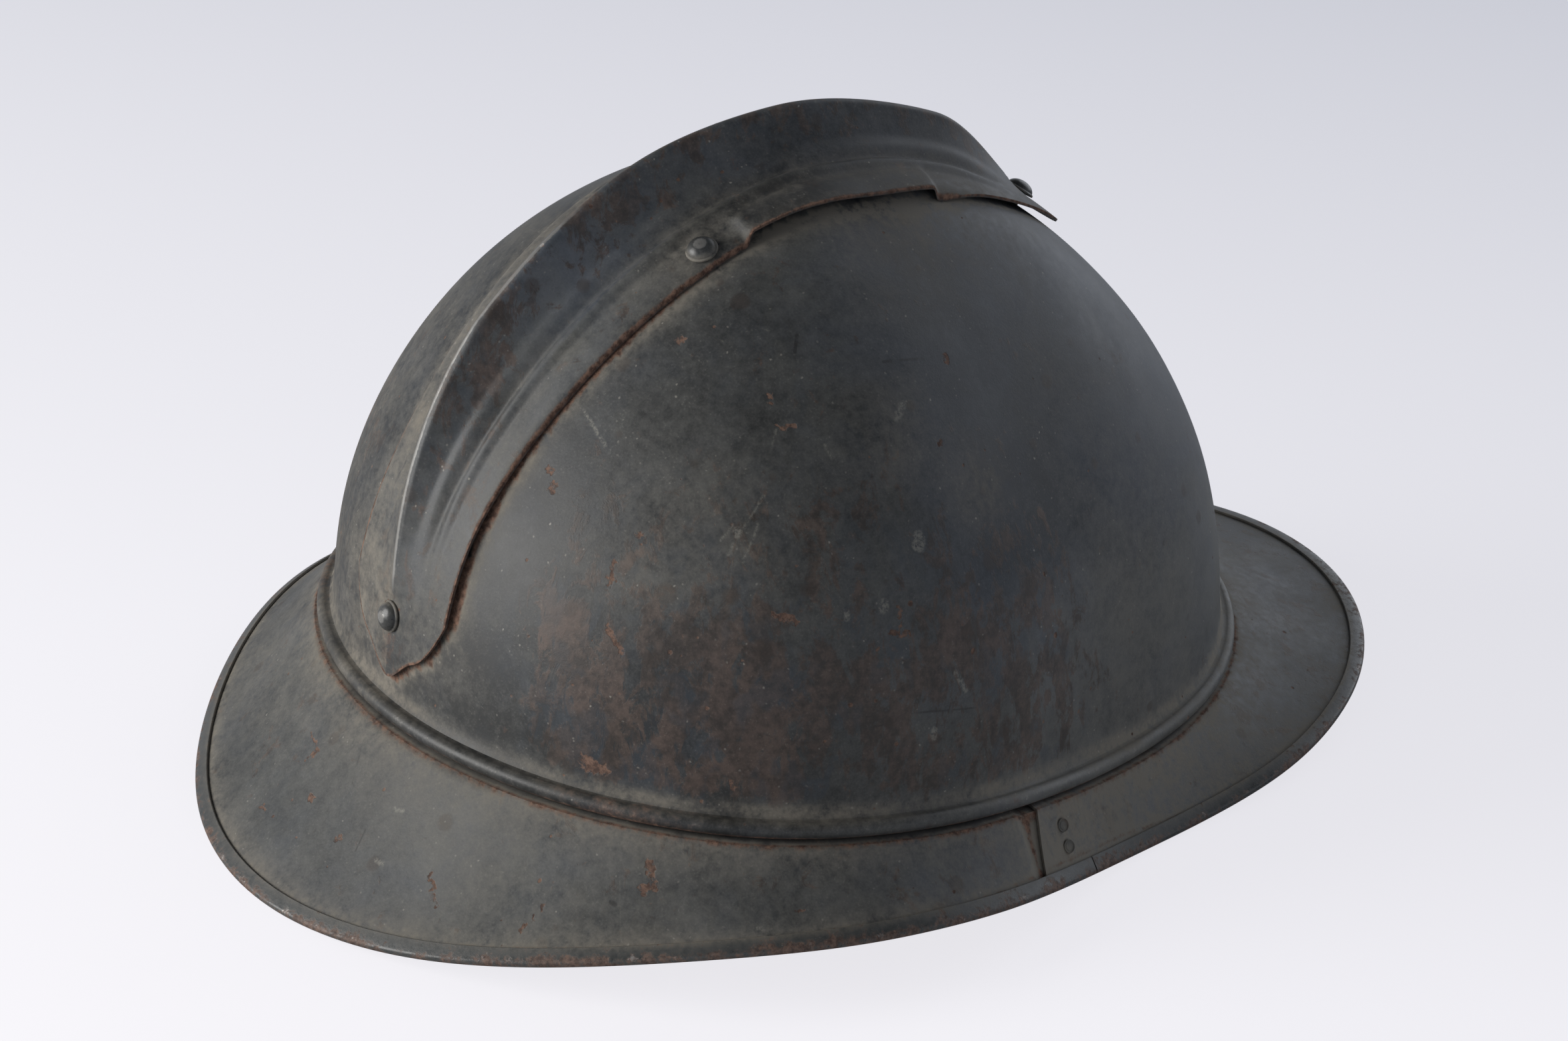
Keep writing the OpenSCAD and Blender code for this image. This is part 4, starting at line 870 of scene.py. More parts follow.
def bowl_marks(p):
    t, r, z, right = around(p)
    gap, a = beyond_crest(p)
    over_bead = z - bead_z(t) - BEAD_D
    near_crest = np.where(gap > -2, np.exp(-np.clip(gap - 0.8, 0, None) / 1.5), 0)
    hollow = blob(over_bead, 1.2, 1.5) * (0.30 + 0.34 * soft((t - 22) / 25) + 0.12 * np.sin(t * 0.21 + 1))
    clouds = (0.16 * blob(t, 44, 15) * blob(z, 88, 15) + 0.10 * blob(t, 8, 12) * blob(z, 50, 16)
              + 0.26 * blob(t, 78, 11) * blob(z, 104, 9) + 0.34 * blob(t, 93, 7) * blob(z, 90, 7)
              + 0.25 * soft((z - 112) / 22) * soft((t - 55) / 40) + 0.14 * blob(t, 128, 20)
              + np.where(right, 0, 0.24) * soft((80 - t) / 50) * (0.5 + 0.5 * soft((90 - z) / 50)))
    on_bead = (r > wall_r(t) + 1.2) * (over_bead < 0.6)
    under = np.clip(bead_z(t) + 1.0 - z, 0, 1) * (r > wall_r(t))
    stain = (soft((t - 12) / 24) * soft((126 - t) / 36) * soft((106 - z) / 46) * soft((over_bead + 0.5) / 7)
             * np.where(right, 1, 0.6))
    # Painted shade: the tone is pulled down high on the sides, about 103 degrees from the back, as shade
    # would darken it. Painted light: it is raised low on the sides from 84 degrees forwards, for the light
    # that the visor reflects there.
    tone = (0.13 + 0.24 * blob(t, 46, 22) * soft((z - 60) / 22) + 0.36 * soft((t - 44) / 30)
            - 0.62 * blob(t, 103, 17) * soft((z - 58) / 22) - 0.06 * blob(t, 14, 16)
            + 0.12 * soft((z - 112) / 25) * soft((t - 30) / 40)
            + 0.26 * soft((t - 84) / 14) * soft((72 - z) / 20))
    rust_line = (np.exp(-np.clip(gap - 0.6, 0, None) / 0.5) * (gap > -2)
                 * (0.3 + 0.7 * soft((80 - a) / 25)))
    return {"tone": tone, "blue": 0.10 + 0.80 * soft((t - 58) / 42) * soft((z - 45) / 40),
            "gloss": on_bead * 0.35,
            "dust": near_crest * (0.8 + 0.2 * soft((a - 40) / 40)) + hollow + clouds,
            "rust": rust_line + under * 0.8 + on_bead * (0.25 + 0.25 * blob(t, 38, 11)),
            "stain": stain * (0.95 - 0.28 * blob(t, 80, 22)) + 0.10 * soft((z - 60) / 40)
            + 0.25 * blob(t, 66, 16) * blob(z, 108, 14),
            "chips": 0.5 * stain + 0.1,
            "wear": blob(over_bead, -1.0, 0.9) * on_bead * 0.45,
            # Painted shade on the bowl where the crest covers it.
            "dark": soft((-gap - 2) / 3) * 0.6}


def make_bowl():
    t = np.arange(0, 360, 1.2)[:, None]
    s = np.concatenate([[89, 88, 86.5], np.arange(85, 4, -1.25)])[None]
    outer = np.stack(np.broadcast_arrays(dome_r(t, s, 0), dome_z(t, s, 0)), -1)
    # The wall runs down, turns out in a hollow and goes over the bead
    foot = np.stack([dome_r(t, 4.0, 0), dome_z(t, 4.0, 0)], -1)
    r0, z0 = bead_r(t) - BEAD_D / 2, bead_z(t) + BEAD_D / 2
    angle = np.array([104, 92, 80, 67, 54, 40, 26, 12, -3, -18, -34, -50, -66, -82, -98, -115, -135,
                      -160])[None]
    bead = np.stack([r0 + BEAD_D / 2 * cosd(angle), z0 + BEAD_D / 2 * sind(angle)], -1)
    start = bead[:, :1]
    hold = foot + np.array([0.35, -3.4])
    reach = start + np.array([-1.9, -0.35])
    k = np.linspace(0, 1, 9)[None, 1:-1, None]
    hollow = ((1 - k) ** 3 * foot + 3 * (1 - k) ** 2 * k * hold
              + 3 * (1 - k) * k ** 2 * reach + k ** 3 * start)
    s_in = np.concatenate([np.arange(0, 85, 3.0), [86.5, 89]])[None]
    inner = np.stack(np.broadcast_arrays(dome_r(t, s_in, -STEEL_T), dome_z(t, s_in, -STEEL_T)), -1)
    rows = turned(t[:, 0], np.concatenate([outer, foot, hollow, bead, inner], 1))
    m, n = rows.shape[:2]
    points, faces = skin(rows, True)
    faces = [f for f in faces if not (f[0] % n == n - 1 and f[1] % n == 0)]
    points = np.concatenate([points, place(0, 0, TOP_Z)[None], place(0, 0, TOP_Z - STEEL_T)[None]])
    for j in range(m):
        k = (j + 1) % m
        faces += [[m * n, j * n, k * n], [m * n + 1, k * n + n - 1, j * n + n - 1]]
    made = piece("bowl_shell", points, faces, DOME_PAINT, body=None, worn=True)
    # The vent slot under the comb
    middle, count = float(over((VENT_START + VENT_END) / 2, 0, 100)[1]), 48
    ends = []
    for w in np.linspace(0, 2 * math.pi, count, endpoint=False):
        end = middle + (SLOT_REACH if w < math.pi else -SLOT_REACH)
        ends.append((SLOT_HALF * math.cos(w), end + SLOT_HALF * math.sin(w)))
    cut_points, cut_faces = skin([[(x, y, z) for x, y in ends] for z in (TOP_Z - 12, TOP_Z + 4)])
    cut_faces = cut_faces[:count] + [list(range(count))[::-1], list(range(count, 2 * count))]
    mesh = bpy.data.meshes.new("slot_cutter")
    mesh.from_pydata((np.array(cut_points) * MM).tolist(), [], cut_faces)
    cutter = bpy.data.objects.new("slot_cutter", mesh)
    bpy.context.scene.collection.objects.link(cutter)
    cut = made.modifiers.new("slot", "BOOLEAN")
    cut.operation, cut.solver, cut.object = "DIFFERENCE", "EXACT", cutter
    bpy.context.view_layer.objects.active = made
    bpy.ops.object.modifier_apply(modifier=cut.name)
    bpy.data.objects.remove(cutter)
    finish_piece(made, DOME_PAINT, "helmet", ("bowl",), "shell_paint", bowl_marks, 40)


make_bowl()


# Neck guard and visor

def rounded(path, times=2):
    """Cuts the corners of a path twice, and keeps its ends."""
    for _ in range(times):
        a, b = path[..., :-1, :], path[..., 1:, :]
        cut = np.stack([0.75 * a + 0.25 * b, 0.25 * a + 0.75 * b], -2)
        cut = cut.reshape(*path.shape[:-2], -1, 2)
        path = np.concatenate([path[..., :1, :], cut, path[..., -1:, :]], -2)
    return path


SLOPE_Q = np.concatenate([[0], np.linspace(0.05, 0.95, 19), [0.975, 1]])


def brim_path(t, reach=1.0):
    """The sheet's outer face at turn t: collar, turn under the bead, then the slope."""
    t = np.asarray(t, float)
    rc, zb, rb = wall_r(t) - STEEL_T - LAP_GAP, bead_z(t), bead_r(t)
    pairs = [(rc, zb + COLLAR_H + 1), (rc, zb + 3), (rc, zb + 0.9), (rc + 0.8, zb - 0.2),
             (rb - BEAD_D / 2, zb - 0.35)]
    head = np.stack([np.stack(np.broadcast_arrays(*p), -1) for p in pairs] + [slope(t, 0.0 * t)], -2)
    tail = np.stack([slope(t, q * reach) for q in SLOPE_Q[1:]], -2)
    return np.concatenate([rounded(head), tail], -2)


def beside(path, d):
    """A path moved by d to its inner side."""
    ahead = np.concatenate([path[..., 1:, :], path[..., -1:, :]], -2)
    behind = np.concatenate([path[..., :1, :], path[..., :-1, :]], -2)
    v = unit(ahead - behind)
    return path + np.asarray(d, float)[..., None, None] * np.stack([v[..., 1], -v[..., 0]], -1)


def brim_marks(p, visor):
    t, r, z, _ = around(p)
    from_bead = r - bead_r(t)
    to_strip = curve(RIM_R, t) - STRIP_W + 0.8 - r
    seam = np.abs(t - SEAM_AT) * r * math.pi / 180
    high = 1 - soft(from_bead / 22)
    # On the visor the colour is also paler all over, most at 128 degrees from the back.
    dust = (np.exp(-np.clip(from_bead, 0, None) / 3.4) * 0.62
            + np.exp(-np.clip(to_strip, 0, None) / 2.0) * 0.70
            + np.exp(-seam / 2.0) * (0.5 if visor else 0.85) + 0.10 * soft((70 - t) / 60) * high
            + 0.16 * blob(t, 28, 12) * blob(from_bead, 14, 6) + (0.20 + 0.25 * blob(t, 128, 14)) * visor)
    near_seam = blob(t, SEAM_AT, 14)
    # On the visor, painted light: the tone rises near the bead, where the bowl shades the sheet.
    tone = 0.74 + 0.4 * high - 0.26 * near_seam if visor else 0.48 + 0.04 * high + 0.18 * blob(t, 72, 20)
    return {"tone": tone, "blue": 0.42 if visor else 0.05 + 0.3 * soft((t - 50) / 40),
            "dust": dust * np.where(from_bead < -0.6, 0.3, 1),
            "rust": np.exp(-np.abs(to_strip) / 0.6) * 0.6 + np.exp(-np.abs(from_bead - 0.4) / 0.9) * 0.85
            + np.exp(-seam / (0.35 if visor else 0.8)) * 0.7,
            "stain": 0.20 + 0.18 * soft((t - 60) / 40), "chips": 0.16,
            "wear": np.exp(-seam / 0.25) * 0.3 * visor,
            # Painted shade on the collar tucked under the bead.
            "dark": 0.55 * soft((-from_bead - 0.5) / 2) * (z > bead_z(t) - 2)}


def make_visor():
    near = SEAM_AT + np.array([0, .12, .35, .7, 1.1, 1.6, 2.2, 3, 4, 5, 6, 7])
    right = np.concatenate([near, np.arange(SEAM_AT + 8.3, 180, 1.3), [180]])
    turns = np.concatenate([right, (360 - right[:-1])[::-1]])
    count = brim_path(100.0).shape[0]
    q = np.concatenate([np.zeros(count - len(SLOPE_Q) + 1), SLOPE_Q[1:]])
    rows = []
    for turn in turns:
        s, close = (1, turn) if turn <= 180 else (-1, 360 - turn)
        lean = SEAM_LEAN * (1 - q) * max(0, 1 - (close - SEAM_AT) / 6)
        t = turn + s * lean
        path = brim_path(t)[np.arange(count), np.arange(count)]
        low = beside(brim_path(close), STEEL_T)[np.arange(count)] - brim_path(close) + path
        rows.append(np.concatenate([place(t, path[:, 0], path[:, 1]), place(t, low[:, 0], low[:, 1])[::-1]]))
    piece("visor_sheet", *skin(rows), BRIM_PAINT, stands_for=("front_visor",), slot="shell_paint",
          marks=lambda p: brim_marks(p, True), worn=True)


def make_neck_guard():
    tongue_end = SEAM_AT + 14
    start, end = SEAM_AT - 2.2, SEAM_AT - 0.4
    right = np.concatenate([np.arange(0, 89, 1.3), np.linspace(start, end, 8),
                            np.linspace(SEAM_AT, tongue_end, 14)])
    turns = np.concatenate([-right[:0:-1], right])
    a = np.abs(turns)
    share = soft((a - start) / (end - start))
    length = np.linalg.norm(slope(a, 1.0) - slope(a, 0.0 * a), axis=-1)
    reach = lerp(1, 1 - (STRIP_W - STRIP_R + 0.4) / length, share)
    path = np.stack([brim_path(v, w) for v, w in zip(a, reach)])
    dip = share * (STEEL_T + LAP_GAP)
    outer, inner = beside(path, dip), beside(path, dip + STEEL_T)
    rows = [turned(t, np.concatenate([o, i[::-1]])) for t, o, i in zip(turns, outer, inner)]
    piece("neck_guard_sheet", *skin(rows), BRIM_PAINT, stands_for=("neck_guard",), slot="shell_paint",
          marks=lambda p: brim_marks(p, False), worn=True)


def strip_marks(p):
    t, r, z, _ = around(p)
    rim, low = curve(RIM_R, t), curve(RIM_Z, t) + SIT
    height = z - low
    fold = soft((r - rim + 1.7) / 1.2)
    return {"wear": 0.40 * blob(r, rim - 0.8, 0.8) * (height > 0.2) + 0.06 * fold, "gloss": fold,
            "rust": 0.14 + fold * 0.42 + 0.2 * (height < 0.5),
            "dust": np.exp(-np.abs(r - rim + STRIP_W - 0.5) / 0.5) + 0.1}


def make_strip():
    turns = np.linspace(STRIP_JOINT + HALF_GAP, STRIP_JOINT + 360 - HALF_GAP, 300)
    near = np.where(turns > 180, 360 - turns, turns)
    rows = turned(turns, strip_section(near, 12))
    piece("edge_strip_fold", *skin(rows), STRIP, stands_for=("edge_strip",), slot="worn_steel",
          marks=strip_marks, worn=True)


make_visor()
make_neck_guard()
make_strip()


# Crest and rivets

JOGGLE_STEPS, JOGGLE_PAST = (0.3, 0.6, 0.9, 1.2, 1.5, 1.9), 2.6
CREST_DIMPLES = ((74.6, -19.5, 0.55, 2.3), (76.2, -16.5, -0.35, 2.0), (17.0, -5.0, 0.3, 2.5))


def crest_rows():
    """The crest's cross-sections, close together where a vent's edge steps up or down."""
    left_start = VENT_START + LEFT_AHEAD
    middle = [*np.linspace(CREST_LEVEL, VENT_START, 74), *(VENT_START + d for d in JOGGLE_STEPS),
              *np.linspace(VENT_START + JOGGLE_PAST, left_start, 22),
              *(left_start + d for d in JOGGLE_STEPS),
              *np.linspace(left_start + JOGGLE_PAST, VENT_END - JOGGLE_PAST, 12),
              *(VENT_END - d for d in (*JOGGLE_STEPS[::-1], 0))]
    front = [*np.linspace(0, 0.9, 38)[1:], 0.93, 0.96, 0.985, 1]
    return np.array([(0, k) for k in np.linspace(0, 1, 27)[:-1]] + [(1, k) for k in middle]
                    + [(2, k) for k in front])


def make_crest():
    rows = crest_rows()
    half = np.concatenate([np.linspace(0, 0.1, 9), np.linspace(0.115, 0.84, 45),
                           np.linspace(0.855, 0.985, 16), [0.993, 1]])
    lanes = np.concatenate([-half[:0:-1], half])
    kind, k, u = rows[:, :1], rows[:, 1:], lanes[None]
    a = crest_angle(kind, k, u)
    x = u * crest_half(a)
    height = crest_height(a, u)
    # Two dimples in the flange near the side rivet and one at its back
    for at, across, deep, size in CREST_DIMPLES:
        far = np.hypot((a - at) * 1.95, x - across)
        height = height - deep * np.exp(-(far / size) ** 2)
    top = on_bowl(a, x, height)
    low = on_bowl(a, x, height - CREST_T)
    points, faces = skin(np.concatenate([top, low[:, ::-1]], 1))
    edge = (1 - np.abs(u)) * crest_half(a) + 0 * a
    to_front = np.where(a > VENT_END, CREST_END - front_cut(u) - a, 99)
    ends = np.minimum(a - CREST_START - back_cut(u), to_front) * 1.9
    edge = np.minimum(edge, ends)
    ax = np.abs(x)
    hollow = blob(ax, 0.46 * crest_half(a), 1.6) + blob(ax, 0.7 * crest_half(a), 2.5)
    rear_rivet = np.hypot((a - RIVET_SPOTS[0][0]) * 1.75, x)
    side_rivet = np.hypot((a - RIVET_SPOTS[2][0]) * 1.98, ax - SIDE_RIVET_X)
    comb_top = blob(x, 0, 7.5) * soft((a - 30) / 20)
    left = x > 0
    # Painted highlight: a lighter band low on the comb's right face, where the light grazes it.
    right_face_highlight = soft((a - 45) / 12) * soft((88 - a) / 12) * blob(x, -5.5, 4)
    values = {"tone": 0.30 + 0.24 * blob(a, 52, 14) - 0.18 * soft((a - 60) / 20) + 0.12 * comb_top
              + 0.34 * right_face_highlight - 0.10 * left - 0.16 * soft((a - 76) / 6) * soft((ax - 12) / 4),
              "blue": 0.12 + 0.45 * soft((a - 40) / 20) * (x < 0) * (ax < 13),
              "dust": 0.06 * soft((a - 60) / 30) + 0.30 * left * soft((95 - a) / 50) + hollow * 0.16
              + 0.75 * np.exp(-rear_rivet / 3.8) * (a > 13) + 0.55 * np.exp(-side_rivet / 4.5)
              + 0.25 * np.exp(-np.clip(edge, 0, None) / 2.0)
              + 0.22 * soft((a - 98) / 6) * blob(ax, 21, 6),
              "rust": np.exp(-np.clip(edge, 0, None) / 0.6) * 1.25
              + 0.8 * np.exp(-np.hypot((a - 12.0) * 1.75, x) / 1.5),
              "stain": 0.20 + 0.45 * comb_top + 0.15 * soft((70 - a) / 40),
              "chips": 0.16 + 0.25 * blob(x, 0, 8),
              # Painted highlight along the comb's ridge, from 17 to 66 degrees over the top.
              "ridge": blob(x, 0, 3) * soft((a - 17) / 4) * soft((66 - a) / 6),
              "wear": 0.42 * blob(ax, 0.8, 1.4) * soft((a - 18) / 6) * soft((118 - a) / 10)
              + 0.16 * np.exp(-np.clip(edge, 0, None) / 0.8),
              "dark": np.zeros_like(a)}
    upper = {n: np.broadcast_to(v, a.shape) for n, v in values.items()}
    # The underside takes 0.4 of each mark, and painted shade of 0.45 besides.
    flat = {n: np.concatenate([v, v[:, ::-1] * 0.4 + (0.45 if n == "dark" else 0)], 1).reshape(-1)
            for n, v in upper.items()}
    piece("crest_sheet", points, faces, PAINT, stands_for=("crest",), slot="shell_paint",
          marks=lambda p: flat, worn=True, sharp=50)


make_crest()


def crest_rivet_seats():
    for a, x in RIVET_SPOTS:
        p = on_bowl(a, x, 0.0)
        n = bowl_normal(p)
        up = float(flange_at(np.array(a), x / float(crest_half(np.array(a))))) + 0.15
        level = unit(np.cross(n, [0.3, 0.9, 0.1]))
        yield frame_at(p, level, np.cross(n, level), n), up


HEAD_R, HEAD_H, HEAD_BASE = 3.5, 2.1, 0.28


def make_crest_rivets():
    parts = []
    for spot, up in crest_rivet_seats():
        dome = [(HEAD_R * math.sin(w), up + HEAD_BASE + HEAD_H * math.cos(w))
                for w in np.linspace(0, 1.42, 14)]
        head = [(0, up + HEAD_BASE + HEAD_H)] + [(r * 0.91, z) for r, z in dome[1:]]
        foot = [(3.36, up + 0.5), (HEAD_R, up + 0.32), (HEAD_R, up + 0.02), (1.5, up + 0.02),
                (1.5, -STEEL_T - 0.02), (2.5, -STEEL_T - 0.05), (2.5, -STEEL_T - 1.3),
                (2.0, -STEEL_T - 1.9), (0, -STEEL_T - 2.0)]
        parts.append(moved(lathe(head + foot, 48), spot))
    seats = [spot[:3, 3] + up * spot[:3, 2] for spot, up in crest_rivet_seats()]

    def marks(p):
        far = np.min([np.linalg.norm(p - s, axis=1) for s in seats], 0)
        crown = np.max([(p - s) @ spot[:3, 2] * (np.linalg.norm(p - s, axis=1) < 5)
                        for s, (spot, _) in zip(seats, crest_rivet_seats())], 0)
        return {"tone": 0.26, "gloss": 0.9, "dust": 0.65 * soft((far - 2.9) / 0.5),
                "rust": 0.3 * soft((far - 3.1) / 0.4) + 0.3 * soft((crown - 1.9) / 0.3), "chips": 0.6,
                "wear": soft((crown - 2.0) / 0.25)}
    piece("crest_rivet_set", *together(*parts), PAINT, stands_for=("crest_rivets",), slot="shell_paint",
          marks=marks, worn=True, sharp=30)


def seam_place(q):
    t = SEAM_RIVET_TURN
    s = slope(t, q)
    e = unit(slope(t, q + 0.1) - slope(t, q - 0.1))
    n2 = np.array([-e[1], e[0]])
    radial, along = place(t, 1.0, 0.0) - place(t, 0.0, 0.0), np.array([0, 0, 1.0])
    n = radial * n2[0] + along * n2[1]
    x = radial * e[0] + along * e[1]
    return frame_at(place(t, s[0], s[1]), x, np.cross(n, x), n)


def make_seam_rivets():
    stack = 2 * STEEL_T + LAP_GAP + 0.65 + 1
    profile = [(0, 0.52), (0.85, 0.52), (1.0, 0.42), (1.2, 0.44), (1.36, 0.66), (1.5, 0.6), (1.56, 0.3),
               (1.5, 0.1), (0.9, 0.06), (0.9, -stack - 0.1), (1.45, -stack - 0.2),
               (1.45, -stack - 0.55), (1.1, -stack - 0.8), (0, -stack - 0.85)]
    parts = []
    for q in SEAM_RIVET_SHARES:
        one = moved(lathe(profile, 40), seam_place(q))
        parts += [one, mirrored(one)]
    piece("seam_rivet_set", *together(*parts), PAINT, stands_for=("seam_rivets",), slot="worn_steel",
          marks=lambda p: {"tone": 0.62, "dust": 0.4, "rust": 0.15, "stain": 0.2, "chips": 0.1},
          worn=True, sharp=30)


make_crest_rivets()
make_seam_rivets()


# Strap loops, folds, chin strap and slider

WIRE_R, LOOP_H, STRAP_W, STRAP_L_T, TABLE_GAP = 1.0, 10.0, 15.0, 1.8, 0.2
HINGE_IN, HINGE_DROP, FOLD_L, FOLD_GAP = 4.9, 6.1, 14.0, 0.2


def seam_spot(t):
    return place(t, slope(t, 0.4)[0], 0.0)


SEAM_RUN = seam_spot(SEAM_RIVET_TURN + 4) - seam_spot(SEAM_RIVET_TURN - 4)
SEAM_PLAN = math.degrees(math.atan2(SEAM_RUN[0], -SEAM_RUN[1]))
SEAM_IN = np.array([math.cos(math.radians(SEAM_PLAN)), math.sin(math.radians(SEAM_PLAN)), 0])
SEAM_SIDE = np.array([-SEAM_IN[1], SEAM_IN[0], 0])
HINGE = (place(SEAM_RIVET_TURN, bead_r(SEAM_RIVET_TURN), bead_z(SEAM_RIVET_TURN) - HINGE_DROP)
         + HINGE_IN * SEAM_IN)
FOLD_INNER = WIRE_R + FOLD_GAP
FOLD_HALF = STRAP_L_T + 0.1
FOLD_REACH = LOOP_H + FOLD_L
LEAN = (math.atan2(FOLD_HALF, FOLD_REACH)
        + math.acos((HINGE[2] - TABLE_GAP) / math.hypot(FOLD_REACH, FOLD_HALF)))
LOOP_ALONG = math.sin(LEAN) * SEAM_IN - math.cos(LEAN) * np.array([0, 0, 1.0])
LOOP_UP = math.cos(LEAN) * SEAM_IN + math.sin(LEAN) * np.array([0, 0, 1.0])
LOOP_FRAME = frame_at(HINGE, LOOP_ALONG, SEAM_SIDE, LOOP_UP)


def ribbon(spots, sides, normals, width, thick, sway=0.0):
    """A leather strap along spots, with rounded edges and a slightly crowned face."""
    spots, sides, normals = (np.asarray(v, float) for v in (spots, sides, normals))
    thick = np.broadcast_to(np.asarray(thick, float), len(spots))[:, None, None]
    width = np.broadcast_to(np.asarray(width, float), len(spots))[:, None, None]
    w = np.linspace(0, 2 * math.pi, 36, endpoint=False) + math.pi / 36
    across = np.sign(np.cos(w)) * np.abs(np.cos(w)) ** 0.22
    out = np.sign(np.sin(w)) * np.abs(np.sin(w)) ** 0.62
    step = np.arange(len(spots))[:, None]
    wave = sway * np.sin(step * 0.61 + across * 1.7)[..., None]
    rows = (spots[:, None] + sides[:, None] * (across[None, :, None] * width / 2 * (1 + 0.4 * wave / 10))
            + normals[:, None] * (out[None, :, None] * thick / 2 + wave * 0.12))
    return skin(rows)


def stitch(a, b, lift, radius=0.36):
    """One thread stitch from a to b, arched off the leather along lift."""
    a, b, lift = (np.asarray(v, float) for v in (a, b, lift))
    k = np.linspace(0, 1, 7)[:, None]
    path = a + (b - a) * k + lift * (np.sin(math.pi * k) * radius * 0.9 - radius * 0.35)
    return tube(path, radius * np.sin(math.pi * (0.12 + 0.76 * k[:, 0])) ** 0.5, 8)


def stitch_row(points, lifts, share=0.66, radius=0.36):
    return [stitch(a, lerp(a, b, share), n, radius) for a, b, n in zip(points[:-1], points[1:], lifts[:-1])]


def in_frame(seat, x, y, z):
    x, y, z = (np.asarray(v)[..., None] for v in np.broadcast_arrays(x, y, z))
    return seat[:3, 3] + x * seat[:3, 0] + y * seat[:3, 1] + z * seat[:3, 2]


def right_fold():
    """The strap's end folded round the loop's lower bar and sewn to itself."""
    reach, middle = FOLD_L - 0.15, STRAP_L_T / 2 + 0.03
    bend_r = FOLD_INNER + STRAP_L_T / 2
    turn_from = math.degrees(math.asin(middle / bend_r))
    run = reach - bend_r * math.cos(math.radians(turn_from)) - 1.4
    far = LOOP_H + reach - np.linspace(0, 1, 15) ** 1.15 * run
    path = [(x, middle + 0.12 * soft((LOOP_H + 7 - x) / 5)) for x in far]
    path += [(LOOP_H + bend_r * math.cos(math.radians(w)), bend_r * math.sin(math.radians(w)))
             for w in np.linspace(turn_from + 12, 348 - turn_from, 30)]
    path += [(x, -middle - 0.12 * soft((LOOP_H + 7 - x) / 5)) for x in far[::-1]]
    path = np.array(path)
    ahead = unit(np.gradient(path, axis=0))
    spots = in_frame(LOOP_FRAME, path[:, 0], 0, path[:, 1])
    normals = np.outer(ahead[:, 1], LOOP_ALONG) - np.outer(ahead[:, 0], LOOP_UP)
    sides = np.repeat(SEAM_SIDE[None], len(path), 0)
    from_end = np.minimum(np.arange(len(path)), np.arange(len(path))[::-1])
    thick = STRAP_L_T * (0.72 + 0.28 * soft(from_end / 2.5))
    return ribbon(spots, sides, normals, STRAP_W, thick, 0.6)


def fold_stitches():
    parts, x = [], np.arange(LOOP_H + 4.6, LOOP_H + FOLD_L - 1.2, 2.1)
    for face in (-1, 1):
        z = face * (FOLD_HALF - 0.06)
        for y in (-5.6, 5.6):
            spots = in_frame(LOOP_FRAME, x, y, z)
            parts += stitch_row(spots, np.repeat(face * LOOP_UP[None], len(x), 0))
        for at in (LOOP_H + 4.6, LOOP_H + FOLD_L - 2.4):
            y = np.arange(-5.6, 5.7, 2.24)
            spots = in_frame(LOOP_FRAME, at, y, z)
            parts += stitch_row(spots, np.repeat(face * LOOP_UP[None], len(y), 0))
    return together(*parts)


def strap_marks(p):
    return {"wear": 0.35 + 0.3 * soft((np.abs(p[:, 0]) - 50) / 20)}


def make_folds():
    for side, turn_over in (("right", lambda part: part), ("left", mirrored)):
        piece("strap_fold_sewn_" + side, *turn_over(right_fold()), STRAP_HIDE, "loop_" + side,
              ("strap_fold_" + side,), "strap_leather", strap_marks, 60)
        piece("fold_stitches_" + side, *turn_over(fold_stitches()), THREAD, "loop_" + side, (),
              "linen_lace", None, 60)


# The strap's route in plan: a short lead, a turn to the front, a straight run and a wide bow
START = HINGE + (FOLD_REACH + 0.4) * LOOP_ALONG
LEAD_L, TURN_R, STRAIGHT_L, TWIST_L, SLIDER_BAR, SLIDER_GAP = 6.0, 24.0, 62.0, 40.0, 1.6, 0.3
STRAP_FOOT = TABLE_GAP + SLIDER_BAR / 2 + SLIDER_GAP
TURN_MID = START + LEAD_L * SEAM_IN - TURN_R * SEAM_SIDE
TURN_X = float(TURN_MID[0]) + TURN_R
STRAIGHT_FROM = LEAD_L + TURN_R * math.radians(90 + SEAM_PLAN)
BOW_R, BOW_Y = -TURN_X, float(TURN_MID[1]) - STRAIGHT_L
BOW_L = BOW_R * math.pi / 2


def strap_plan(d):
    if d < LEAD_L:
        return START[0] + d * SEAM_IN[0], START[1] + d * SEAM_IN[1], SEAM_PLAN
    if d < STRAIGHT_FROM:
        h = SEAM_PLAN - math.degrees((d - LEAD_L) / TURN_R)
        return TURN_MID[0] - TURN_R * float(sind(h)), TURN_MID[1] + TURN_R * float(cosd(h)), h
    if d < STRAIGHT_FROM + STRAIGHT_L:
        return TURN_X, TURN_MID[1] - (d - STRAIGHT_FROM), -90.0
    a = (d - STRAIGHT_FROM - STRAIGHT_L) / BOW_R
    return -BOW_R * math.cos(a), BOW_Y - BOW_R * math.sin(a), -90 + math.degrees(a)


def strap_row(d):
    """Middle, side and normal of the strap at a distance d along its right half."""
    x, y, h = strap_plan(d)
    roll = 90 * float(soft(d / TWIST_L))
    side, up = np.array([-float(sind(h)), float(cosd(h)), 0]), np.array([0, 0, 1.0])
    z = STRAP_FOOT + STRAP_W / 2 * float(sind(roll)) + STRAP_L_T / 2 * float(cosd(roll))
    z += max(0.0, START[2] - STRAP_FOOT - STRAP_L_T / 2) * (1 - float(soft(d / LEAD_L)))
    across = float(cosd(roll)) * side + float(sind(roll)) * up
    out = -float(sind(roll)) * side + float(cosd(roll)) * up
    if d < LEAD_L:
        k = float(soft(d / LEAD_L))
        out = unit(lerp(LOOP_UP, out, k))
        across = unit(across - out * across.dot(out))
    return np.array([x, y, z]), across, out


